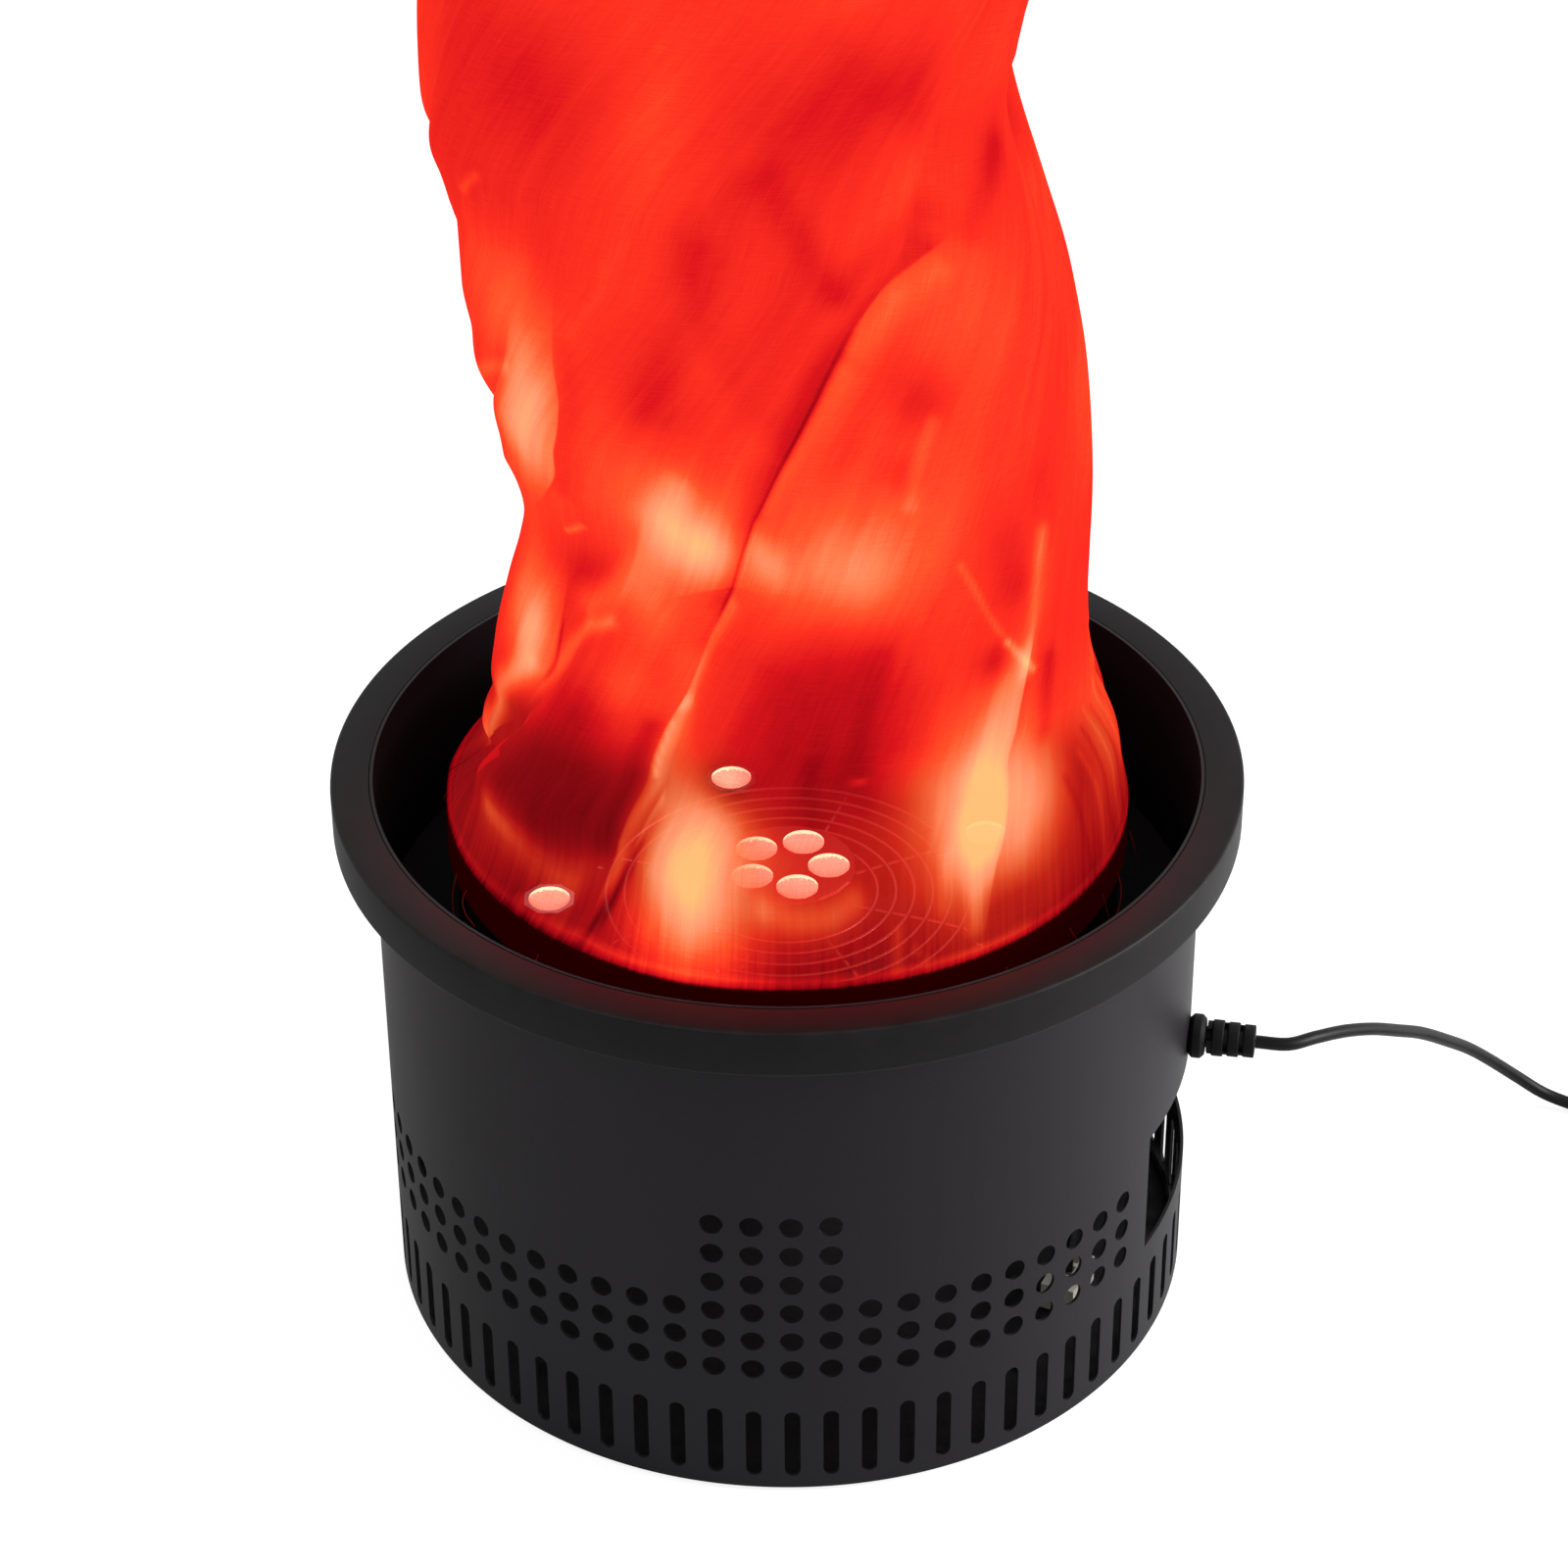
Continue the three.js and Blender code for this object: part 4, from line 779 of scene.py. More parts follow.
def mark_edges(made, spots, reach=1.2):
    """An attribute that is 1 where a surface is near one of the (radius, height) edges, for its wear."""
    mesh = made.data
    co = np.empty(len(mesh.vertices) * 3, np.float32)
    mesh.vertices.foreach_get("co", co)
    co = co.reshape(-1, 3) / MM
    radius = np.hypot(co[:, 0], co[:, 1])
    near = np.zeros(len(co))
    for r, h in spots:
        near = np.maximum(near, np.exp(-(((radius - r) ** 2 + (co[:, 2] - h) ** 2) / reach ** 2)))
    mesh.attributes.new("edge", "FLOAT", "POINT").data.foreach_set("value", near.astype(np.float32))


def make_rim():
    inside, low, eased = HOUSING["radius"] + FIT, WALL_TOP - RIM["height"], RIM["eased"]
    made = turned("rim_lip", [
        (inside, low, eased), (RIM["radius"], low, RIM["under_bevel"]),
        (RIM["radius"], WALL_TOP, RIM["bevel"]), (inside, WALL_TOP, eased),
    ], RIM_COAT, 256)
    mark_edges(made, [(RIM["radius"] - eased, WALL_TOP - eased), (RIM["radius"] - eased, low + eased)])
    ride(made, "black_steel", "rim_ring")


def make_deck():
    edge = HOUSING["radius"] - HOUSING["sheet"] - FIT
    top, under = DECK["top"], DECK["top"] - DECK["plate"]
    ride(turned("deck_skin", [
        (DECK["opening"], under), (edge - DECK["plate"], under), (edge - DECK["plate"], top - DECK["skirt"]),
        (edge, top - DECK["skirt"]), (edge, top, 1.5), (DECK["opening"], top),
    ], INNER_COAT, 192), "deck_steel", "deck_plate")


def make_collar():
    base, top, lip = COLLAR["base"], COLLAR["top"], COLLAR["base"] + COLLAR["sheet"]
    inside = COLLAR["radius"] - COLLAR["sheet"]
    ride(turned("collar_drum", [
        (COLLAR["radius"], base, 0.8), (COLLAR["radius"], top, 0.6), (inside, top, 0.6), (inside, lip, 1.2),
        (inside - COLLAR["flange"], lip, 0.5), (inside - COLLAR["flange"], base, 0.5),
    ], INNER_COAT, 192), "deck_steel", "silk_collar")
    high, inner = top - BAND["drop"], COLLAR["radius"] + FIT
    low, outer = high - BAND["height"], inner + BAND["thickness"]
    ride(turned("hook_tape_band", [
        (inner, low, 0.3), (outer, low, 0.4), (outer, high, 0.4), (inner, high, 0.3),
    ], HOOK_TAPE, 192), "hook_tape", "hook_loop_band")


make_rim()
make_deck()
make_collar()


# Fan guard: rings and spokes of bright wire. Past the last ring a spoke bends down and ends in a foot.

SPOKE_BEND = [(0, 0), (3, -1), (5.2, -4)]
SPOKE_FOOT = [(6.5, 1), (8.5, 0), (11, 0)]


def make_guard():
    wire, plane, shapes = GUARD["wire"], GUARD["plane"], []
    for i in range(GUARD["rings"]):
        radius, centre = GUARD["first"] + i * GUARD["pitch"], plane + wire - GUARD["weld"]
        shapes.append(turned_shape([(radius + wire * math.cos(a), centre + wire * math.sin(a))
                                    for a in np.linspace(0, 2 * math.pi, 9)[:-1]], 96))
    edge = GUARD["first"] + (GUARD["rings"] - 1) * GUARD["pitch"]
    spoke, low = plane - wire + GUARD["weld"], DECK["top"] + FIT + wire
    line = [(GUARD["hub"], spoke), *((edge + out, spoke + rise) for out, rise in SPOKE_BEND),
            *((edge + out, low + rise) for out, rise in SPOKE_FOOT)]
    for i in range(GUARD["spokes"]):
        azimuth = GUARD["spoke_azimuth"] + i * 360 / GUARD["spokes"]
        shapes.append(tube_shape(curve_through([polar(r, azimuth, h) for r, h in line], 4), wire, 10))
    ride(piece("wire_guard", *joined(shapes), RED_LIT_WIRE, 50), "bright_wire", "fan_guard")


make_guard()


# Lenses of the lamps on the deck and in the middle cluster

def make_lens(name, spot, top, node):
    shoulder, radius = top - LENS["dome"], LENS["radius"]
    under = shoulder - LENS["height"]
    profile = [(0, under), (radius * LENS["under_share"], under)]
    profile += [(radius * math.cos(a), shoulder + LENS["dome"] * math.sin(a))
                for a in np.linspace(0, math.pi / 2, 7)[:-1]]
    made = turned(name, profile + [(0, top)], LENS_LIT, 40, 50, at=spot)
    ride(made, "clear_lens", node)


def make_lenses(group, kind, top):
    for i in range(group["count"]):
        spot = polar(group["circle"], group["azimuth"] + i * 360 / group["count"])
        make_lens(f"{kind}_glass_{i + 1}", spot, top, f"{kind}_lens_{i + 1}")


make_lenses(LAMPS, "lamp", DECK["top"] + FIT + LENS["stands"] + LENS["dome"])
make_lenses(CLUSTER, "cluster", CLUSTER["top"] + CLUSTER["stands"])


# Silk

SILK_HEM = {"radius": 161.4, "top": 268.3}
SILK_HEIGHT = 1500
# Height, left, right, front and back of the cloth, in millimetres
SILK_OUTLINE = np.array([
    (268.3, -161.4, 161.4, -161.4, 161.4), (276, -154.3, 159.8, -148.9, 154.3), (285, -147, 158, -135, 146),
    (302, -143, 155.3, -114, 130), (318, -138, 149.7, -104, 118.5), (330, -137.9, 144.5, -100, 112),
    (345, -135.8, 142.3, -97.4, 107), (360, -133.4, 141.2, -97, 105), (388, -126.8, 140.9, -97.3, 105),
    (413, -120.1, 140.8, -98, 106), (430, -117.5, 140.4, -99, 108), (450, -120.2, 139.3, -100, 110),
    (473, -127.9, 137.5, -100.6, 111.4), (496, -136.6, 134.8, -101, 112), (520, -137.5, 130.5, -101.6, 112),
    (544, -140.1, 125.1, -102, 112), (575, -140.1, 115.3, -102, 110), (590, -144.4, 110.4, -102, 108.8),
    (602, -148.6, 106.4, -102, 108), (615, -154, 102.4, -101.6, 107), (628, -155.2, 99.2, -101, 106),
    (640, -155, 98.2, -100.7, 105.5), (664, -153.8, 102.2, -100, 104), (690, -151, 109.5, -100, 102),
    (740, -140, 112, -100, 98), (820, -100, 140, -104, 88), (910, -62, 162, -108, 76),
    (1045, -34, 140, -100, 60), (1180, -40, 96, -78, 48), (1315, -46, 52, -50, 34),
    (1414, -42, 20, -28, 26), (1490, -26, -10, -4, 10), (1500, -21, -21, 6.5, 6.5),
])
SILK_RISE = SILK_HEIGHT - SILK_HEM["top"]
# Azimuths, and heights over the hem, as (from, to, count) spans
SILK_COLUMNS = [(-180, -115, 22), (-115, 110, 240), (110, 180, 24)]
SILK_ROWS = [(-22, 0, 8), (0, 425, 240), (425, SILK_RISE, 80)]


def smooth_rows(heights, table):
    """Each column of a table, followed smoothly over its first column."""
    known = table[:, 0]
    spans = np.clip(np.searchsorted(known, heights, side="right") - 1, 0, len(known) - 2)
    width = known[1:] - known[:-1]
    out = []
    for values in table[:, 1:].T:
        slope = (values[1:] - values[:-1]) / width
        lean = np.concatenate([[slope[0]], (slope[1:] + slope[:-1]) / 2, [slope[-1]]])
        flat = np.concatenate([[False], slope[1:] * slope[:-1] <= 0, [False]])
        lean[flat] = 0
        t = (heights - known[spans]) / width[spans]
        a, b = values[spans], values[spans + 1]
        m0, m1 = lean[spans] * width[spans], lean[spans + 1] * width[spans]
        out.append(a * (1 + 2 * t) * (1 - t) ** 2 + m0 * t * (1 - t) ** 2
                   + b * t * t * (3 - 2 * t) + m1 * t * t * (t - 1))
    return out


# Folds of the cloth: each is a valley that winds up from the hem, as (height, azimuth, depth share)
# points, with the width of its steep side and of its gentle side in degrees
FOLDS = [
    ([(268, -37, 0.0), (276, -35.5, 0.10), (296, -32, 0.20), (322, -27.5, 0.20), (346, -23, 0.18),
      (382, -21.5, 0.16), (414, -17, 0.14), (442, -10.5, 0.13), (478, -4.5, 0.12), (542, 12.5, 0.12),
      (588, 37.5, 0.13), (660, 62, 0.16), (800, 100, 0.18), (1000, 160, 0.2), (1250, 240, 0.18),
      (1500, 300, 0.0)], 7, 20),
    ([(270, -96, 0.0), (288, -86, 0.14), (328, -68.5, 0.13), (364, -55.5, 0.11), (418, -48, 0.09),
      (454, -33.5, 0.07), (484, -22.5, 0.05), (540, -12, 0.02), (700, 20, 0.0), (1500, 100, 0.0)], 8, 22),
    ([(268, -118, 0.0), (300, -112, 0.10), (360, -104, 0.14), (413, -96, 0.16), (470, -80, 0.12),
      (560, -52, 0.08), (664, -20, 0.08), (800, 20, 0.12), (1000, 85, 0.18), (1250, 165, 0.16),
      (1500, 230, 0.0)], 9, 24),
    ([(268, 95, 0.0), (300, 98, 0.06), (356, 92, 0.08), (450, 80, 0.05), (560, 84, 0.06),
      (631, 92, 0.12), (700, 112, 0.14), (850, 160, 0.18), (1050, 230, 0.18), (1300, 300, 0.14),
      (1500, 350, 0.0)], 9, 22),
    ([(268, 165, 0.0), (310, 168, 0.12), (400, 185, 0.14), (520, 215, 0.16), (664, 250, 0.16),
      (850, 300, 0.18), (1050, 355, 0.18), (1300, 420, 0.14), (1500, 470, 0.0)], 9, 24),
    ([(268, 215, 0.0), (310, 222, 0.10), (400, 240, 0.12), (520, 262, 0.10), (664, 290, 0.12),
      (850, 340, 0.14), (1050, 400, 0.14), (1300, 470, 0.1), (1500, 520, 0.0)], 9, 20),
]


def fold_depth(azimuths, heights):
    """How far each point is drawn in, as a share of the cloth's half width there."""
    total = np.zeros(azimuths.shape)
    for line, steep, gentle in FOLDS:
        line = np.array(line, float)
        where, depth = smooth_rows(heights[:, 0], line)
        off = (azimuths - where[:, None] + 180) % 360 - 180
        side = np.where(off < 0, gentle, steep)
        total += depth[:, None] * np.exp(-np.abs(off) / side)
    return total


# Light on the cloth. Places are (azimuth in degrees, height in millimetres); widths are in millimetres.
# Within REACH of a crease its two sides are lit apart, and past FAR_OFF it has no say at all.
DEGREE = 2.2
REACH = (4.0, 9.0)
FAR_OFF = 12.0
THIN_FADE = 12
PAINTED = {"azimuth": 130, "height": 720}
SPOT_SHARPNESS = 0.85
FLOOR_SHARPNESS = 14


def straight(line):
    return [(azimuth * DEGREE, height) for azimuth, height in line]


def smooth(line):
    """A line of places as a smooth run of points in millimetres of cloth."""
    knots = [(x, z, 0) for x, z in straight(line)]
    return np.array(curve_through(knots, 5) if len(knots) > 2 else knots, float)[:, :2]


def line_distance(x, z, run):
    """Distance to a run of points, and its sign: negative to the left of the run's way."""
    best, sign = np.full(x.shape, 1e9), np.ones(x.shape)
    for (ax, az), (bx, bz) in zip(run, run[1:]):
        dx, dz = bx - ax, bz - az
        t = np.clip(((x - ax) * dx + (z - az) * dz) / (dx * dx + dz * dz), 0, 1)
        apart = np.hypot(x - ax - t * dx, z - az - t * dz)
        nearer = apart < best
        best = np.where(nearer, apart, best)
        sign = np.where(nearer, np.sign((x - ax) * dz - (z - az) * dx), sign)
    return best, sign


def spot(azimuth, height, wide, tall, gain, lean=0):
    """An oval of light, with its half width, its half height and its lean in degrees."""
    turn = math.radians(lean)

    def lit(x, z):
        across, up = x - azimuth * DEGREE, z - height
        u = across * math.cos(turn) - up * math.sin(turn)
        v = across * math.sin(turn) + up * math.cos(turn)
        return gain * np.exp(-((u / wide) ** 2 + (v / tall) ** 2) * SPOT_SHARPNESS)
    return lit


def stroke(line, half, gain):
    """A soft line of light, with its half width."""
    def lit(x, z):
        return gain * np.exp(-(line_distance(x, z, smooth(line))[0] / half) ** 2)
    return lit


def zone(line, soft, gain):
    """An area of light inside a line of places, with the softness of its edge."""
    ring = straight([*line, line[0]])

    def lit(x, z):
        inside = np.zeros(x.shape, bool)
        for (ax, az), (bx, bz) in zip(ring, ring[1:]):
            if az != bz:
                inside ^= ((az > z) != (bz > z)) & (x < ax + (z - az) * (bx - ax) / (bz - az))
        apart = line_distance(x, z, ring)[0]
        share = np.clip(np.where(inside, apart, -apart) / (2 * soft) + 0.5, 0, 1)
        return gain * share * share * (3 - 2 * share)
    return lit


LIGHT = [
    zone([(-88, 283), (-76, 290), (-66, 310), (-57, 335), (-51, 355), (-45, 362), (-39, 350), (-38, 330),
          (-38, 310), (-38, 298), (-42, 290), (-50, 285), (-60, 290), (-70, 283)], 15, -0.18),
    spot(-46, 308, 30, 28, -0.06), stroke([(-65, 290), (-57, 286), (-50, 282), (-43, 279)], 6, 0.26),
    spot(-68, 289, 20, 10, 0.14), spot(-40, 285, 9, 5, 0.1), spot(-16.3, 297, 20, 24, 0.58, lean=6),
    spot(-16, 294, 15, 15, 0.14), spot(-16, 320, 20, 18, 0.17), spot(-19.5, 290, 22, 17, 0.1),
    stroke([(-26, 318), (-24, 350), (-22, 385)], 8, 0.1), spot(-35, 370, 14, 16, 0.12),
    spot(-29, 398, 12, 16, 0.08),
    zone([(-37, 269), (-34.5, 283), (-31, 292), (-28, 299), (-30, 288), (-33.5, 276)], 2.5, -0.26),
    stroke([(66, 270), (64, 290), (59, 318)], 1.6, 0.09),
    stroke([(70, 272), (67, 295), (63, 326)], 1.6, -0.1),
    stroke([(74, 273), (71, 300), (66, 334)], 1.5, 0.09),
    stroke([(78, 274), (75, 300), (70, 330)], 1.5, -0.1),
    stroke([(83, 276), (79, 304), (74, 340)], 1.5, 0.08),
    stroke([(88, 278), (83, 308), (77, 345)], 1.5, -0.08),
    stroke([(60, 271), (57, 290), (53, 312)], 1.6, -0.08), spot(76, 318, 48, 36, 0.24),
    zone([(-11, 328), (-9, 360), (-7, 395), (5, 408), (16, 404), (20, 380), (20, 350), (14, 330),
          (4, 322)], 22, -0.19), stroke([(12, 326), (12, 360), (15, 400)], 6, -0.05),
    stroke([(3, 318), (3, 345)], 4, -0.05), spot(9, 338, 12, 14, -0.06),
    stroke([(-4, 288), (1, 285.5), (7, 286.5), (10, 290)], 5, 0.2), spot(3, 287, 22, 10, 0.12),
    spot(-1, 302, 15, 9, 0.1), spot(36, 320, 34, 44, 0.26, lean=10), spot(31, 308, 24, 24, 0.2),
    stroke([(31, 300), (31, 284), (31, 277)], 4, 0.16), stroke([(26, 300), (25, 284)], 3, 0.08),
    stroke([(31, 440), (36, 415), (39, 402), (42, 391)], 1.8, 0.13),
    stroke([(42, 391), (46.5, 378), (49, 371)], 2.0, 0.26),
    stroke([(46.5, 372), (48, 385), (49.5, 400), (51, 420), (53, 440)], 4.5, 0.2), spot(52, 430, 9, 34, 0.08),
    spot(39, 383, 9, 9, -0.18), stroke([(51, 338), (54, 372)], 6, -0.13), spot(58, 310, 9, 15, -0.14),
    spot(38, 280, 12, 6, -0.1), stroke([(17.2, 280.5), (17, 271)], 1.7, 0.15),
    stroke([(20, 275), (22, 271.5)], 1.3, 0.14), spot(11.5, 335, 3, 1.5, 0.22),
    stroke([(-88, 490), (-72, 508), (-58, 522)], 3.5, 0.12), spot(-92, 452, 30, 13, 0.16),
    stroke([(-50, 403), (-40, 420), (-33, 440), (-28, 460), (-20, 482)], 9, 0.17),
    spot(-50, 420, 24, 14, -0.1), spot(-20, 530, 26, 30, -0.1), stroke([(-53, 441), (-47, 448)], 1.6, 0.18),
    spot(-21, 452, 24, 28, 0.18), spot(-18, 448, 13, 14, 0.12), spot(10, 450, 25, 28, 0.27),
    spot(9, 444, 16, 15, 0.1), spot(24, 470, 18, 30, 0.07),
    stroke([(23, 475), (27, 500), (30, 515)], 3.5, 0.13), spot(28, 528, 11, 13, -0.13),
    spot(23, 490, 8, 11, -0.1), spot(42, 440, 12, 17, -0.09), spot(53, 460, 11, 22, -0.09),
    spot(45, 418, 13, 11, -0.09), spot(-50, 655, 60, 60, -0.09), spot(-35, 660, 22, 30, -0.08),
    spot(-12, 660, 18, 34, 0.06), spot(-50, 545, 24, 24, 0.1),
    stroke([(-105, 573), (-92, 578), (-78, 585)], 2, 0.12), stroke([(-58, 605), (-50, 617)], 2, 0.12),
    stroke([(-22, 522), (-17, 548), (-11, 575), (-6, 600)], 11, -0.09),
    stroke([(11, 632), (14.5, 604), (17.8, 575)], 8.5, -0.08),
    stroke([(19, 577), (24, 584), (31, 591), (43, 601)], 8.5, -0.1),
    zone([(-4, 617), (-9, 591), (-8, 554), (-4.5, 519), (3, 502), (9, 522), (15, 544), (17, 574), (14, 603),
          (10, 632), (3, 636)], 9, -0.07), stroke([(-4, 617), (-9, 591), (-8, 554)], 7, -0.03),
    stroke([(18, 690), (26, 668), (36, 652), (45, 640)], 10, -0.04), spot(15, 658, 44, 40, -0.065),
    spot(-48, 690, 40, 30, -0.04), spot(-47, 600, 30, 24, -0.06), spot(-32, 417, 15, 15, 0.14),
    spot(43, 565, 27, 28, 0.08), spot(65, 618, 16, 20, -0.11),
    stroke([(65, 618), (57, 604), (50, 590)], 7, -0.09), spot(90, 612, 15, 17, -0.11),
    spot(47, 645, 17, 19, -0.07), spot(38, 665, 13, 15, -0.09), spot(20, 655, 32, 28, -0.09),
]

# Creases: each is a line with light or shade that stops at it, to its left or its right going along it
CREASES = [
    {"line": [(-85, 300), (-80, 310), (-73, 322), (-68, 335), (-63, 350), (-59, 362), (-57.5, 380),
              (-57, 400), (-56, 425)], "thin": -0.14, "from_to": (345, 395),
     "left": [spot(-66, 380, 18, 28, 0.4), spot(-66, 372, 10, 15, 0.16),
              stroke([(-102, 290), (-92, 292), (-87, 300), (-84, 313), (-79, 333), (-73, 345),
                      (-66, 358)], 7.5, 0.34)],
     "right": [stroke([(-70, 336), (-62, 352), (-57, 366), (-54, 378), (-48, 392), (-41, 401)], 4.2, 0.2)]},
    {"line": [(-60, 450), (-52, 463), (-47, 475), (-44, 490), (-42, 500), (-41, 515), (-40, 545), (-38, 575)],
     "thin": 0.0, "from_to": (455, 560),
     "left": [spot(-51, 503, 19, 31, 0.37), spot(-50, 524, 26, 44, 0.1)],
     "right": [stroke([(-46, 470), (-41, 490), (-38, 520), (-37, 545)], 7, -0.07)]},
    {"line": [(-24, 424), (-20, 427), (-17, 428)], "thin": 0.0, "from_to": (0, 0),
     "left": [spot(-20, 453, 20, 22, 0.26)],
     "right": []},
    {"line": [(-37, 270), (-37, 278), (-35, 295), (-33, 310), (-30, 330), (-27, 350), (-24, 365), (-22, 380),
              (-19.5, 400), (-16, 422), (-11.5, 446), (-5, 470), (2, 496), (9, 525), (17, 549), (27, 569),
              (40, 585), (56, 600)], "thin": -0.13, "from_to": (405, 560),
     "left": [stroke([(-16, 422), (-11.5, 446), (-5, 470), (2, 496), (9, 525), (17, 549), (27, 569),
                      (40, 585)], 8, -0.16), spot(-20, 455, 12, 14, 0.16),
              stroke([(-38, 292), (-36, 310), (-33, 330), (-30, 350)], 5, -0.14)],
     "right": [spot(-6, 447, 10, 13, 0.3), stroke([(-4, 476), (3, 497), (11, 525), (16, 541)], 5.0, 0.13),
               stroke([(19, 550), (28, 565), (40, 579)], 5, 0.1),
               stroke([(-36, 281), (-34, 296), (-31, 312), (-28.3, 330), (-25.5, 350),
                       (-24, 364)], 3.8, 0.24), stroke([(-32, 283), (-30, 298), (-27, 314)], 2.6, 0.13),
               stroke([(-24, 362), (-21.5, 382), (-18.5, 402), (-15, 420)], 3.4, 0.17),
               stroke([(-30, 322), (-27.5, 340), (-26, 352)], 1.3, 0.16)]},
    {"line": [(33, 275), (35, 290), (37, 300), (40, 325), (44, 350), (47, 370), (49, 385), (50, 400),
              (51, 425)], "thin": 0.0, "from_to": (300, 380),
     "left": [stroke([(33, 305), (36, 322), (40, 343), (44, 364), (46.5, 376)], 11, 0.34),
              spot(34, 310, 22, 28, 0.24, lean=6), spot(33, 304, 12, 14, 0.12)],
     "right": [spot(41, 313, 19, 26, 0.27)]},
]
LIGHT.append(stroke([(-52, 271.5), (-30, 269.8), (0, 269.2), (25, 269.6), (42, 270.8)], 1.2, 0.14))

# What changes with the height alone: the plain light, the least light, the open weave and its turn in degrees
PLAIN_LIGHT = ([240, 266.5, 269, 276, 290, 320, 360, 430, 480, 600, 800, 1200, 1500],
               [-0.35, -0.30, 0.24, 0.30, 0.35, 0.40, 0.44, 0.50, 0.53, 0.52, 0.49, 0.44, 0.38])
LEAST_LIGHT = ([240, 266.5, 270], [-0.4, -0.4, 0.13])
SHEER = ([240, 268, 272, 322, 342, 400, 1500], [0.0, 0.1, 0.5, 0.40, 0.05, 0.01, 0.01])
WEAVE_TURN = ([246, 300, 400, 450, 520, 580, 700, 900, 1500], [-2, -2, 13, 23, 40, 62, 95, 140, 300])
SHEER_SPOTS = [spot(-12, 335, 11, 10, 0.5), spot(-18, 275, 27, 11, -0.62)]
MOST_SHEER = 0.8
# The folds shade the cloth above a height and beyond an azimuth, where no light is painted
FOLD_SHADE = {"amount": 0.9, "above": 640, "over": 110, "beyond": 92, "within": 24, "hem": 275, "rise": 40}


def all_of(items, x, z):
    return sum((item(x, z) for item in items), np.zeros(x.shape))


def light_of(azimuths, heights):
    """Light to the left and right of the nearest crease, the distance to it, and its thin line."""
    x = ((azimuths + 180) % 360 - 180) * DEGREE
    z = np.broadcast_to(heights, x.shape)
    near = (np.abs(x) < PAINTED["azimuth"] * DEGREE) & (z < PAINTED["height"])
    fx, fz = x[near], z[near]
    actual = all_of(LIGHT, fx, fz)
    nearest, side = np.full(fx.shape, 1e9), np.ones(fx.shape)
    which, thin = np.zeros(fx.shape, int), np.zeros(fx.shape)
    both = []
    for k, crease in enumerate(CREASES):
        apart, sign = line_distance(fx, fz, smooth(crease["line"]))
        left, right = all_of(crease["left"], fx, fz), all_of(crease["right"], fx, fz)
        own = np.where(sign < 0, left, right)
        actual += own
        both.append((left - own, right - own))
        nearer = apart < nearest
        nearest, side = np.where(nearer, apart, nearest), np.where(nearer, sign, side)
        low, high = crease["from_to"]
        fade = np.clip((fz - low) / THIN_FADE, 0, 1) * np.clip((high - fz) / THIN_FADE, 0, 1)
        which, thin = np.where(nearer, k, which), np.where(nearer, crease["thin"] * fade, thin)
    share = np.clip((REACH[1] - nearest) / (REACH[1] - REACH[0]), 0, 1)
    least = np.interp(z, *LEAST_LIGHT)
    out = []
    for changes in zip(*both):
        lit = np.interp(z, *PLAIN_LIGHT)
        lit[near] += actual + sum(np.where(which == k, more * share, 0) for k, more in enumerate(changes))
        out.append(least + np.logaddexp(0, (lit - least) * FLOOR_SHARPNESS) / FLOOR_SHARPNESS)
    off, line = np.full(x.shape, FAR_OFF), np.zeros(x.shape)
    off[near] = np.clip(nearest * side, -FAR_OFF, FAR_OFF)
    line[near] = thin
    return *out, off, line


# Frayed threads of the hem: azimuth, length down, and how far they swing round
THREADS = [
    (-118, 22, 9), (-96, 15, -12), (-71, 26, 8), (-66, 11, 14), (-44, 17, -9), (-28, 13, 12), (-9, 19, 4),
    (-3, 9, -10), (18, 14, 9), (37, 24, -7), (52, 16, 12), (63, 34, 10), (70, 21, -14), (82, 30, 7),
    (99, 18, 12), (131, 20, -8), (168, 15, 9), (214, 24, 8),
]
THREAD_FORM = {"radius": 0.28, "off_hem": 0.6, "below_hem": 12, "swing": 0.35}
# How far out of the hem a thread hangs along its length
THREAD_OUT = [(0, 0.8), (0.35, 3.5), (0.7, 4.5), (1, 3.2)]


def make_threads():
    shapes, form = [], THREAD_FORM
    for azimuth, length, swing in THREADS:
        knots = [polar(SILK_HEM["radius"] + form["off_hem"] + out,
                       azimuth + swing * share * share * form["swing"],
                       SILK_HEM["top"] - form["below_hem"] - length * share) for share, out in THREAD_OUT]
        shapes.append(tube_shape(curve_through(knots, 5), form["radius"], 5))
    ride(piece("hem_threads", *joined(shapes), THREAD), "red_silk")


def places_of(spans, end):
    """Places along the cloth, closer together where a (from, to, count) span has more of them."""
    return np.concatenate([np.linspace(a, b, n, endpoint=False) for a, b, n in spans] + [[end]])


def cloth_points(azimuths, heights):
    """Points of the cloth in its outline, and how far each is drawn in by the folds."""
    above = np.maximum(heights, SILK_HEM["top"])
    left, right, front, back = (side[:, None] for side in smooth_rows(above[:, 0], SILK_OUTLINE))
    drawn = fold_depth(azimuths, above)
    angle = np.radians(azimuths)

    def fitted(places, start, end):
        low, high = places.min(1, keepdims=True), places.max(1, keepdims=True)
        return start + (places - low) / (high - low) * (end - start)

    x = fitted(np.sin(angle) * (1 - drawn), left, right)
    y = fitted(-np.cos(angle) * (1 - drawn), front, back)
    hem = heights[:, 0] < SILK_HEM["top"]
    x[hem] = SILK_HEM["radius"] * np.sin(angle[hem])
    y[hem] = -SILK_HEM["radius"] * np.cos(angle[hem])
    return np.stack([x, y, np.repeat(heights, x.shape[1], 1)], -1), drawn


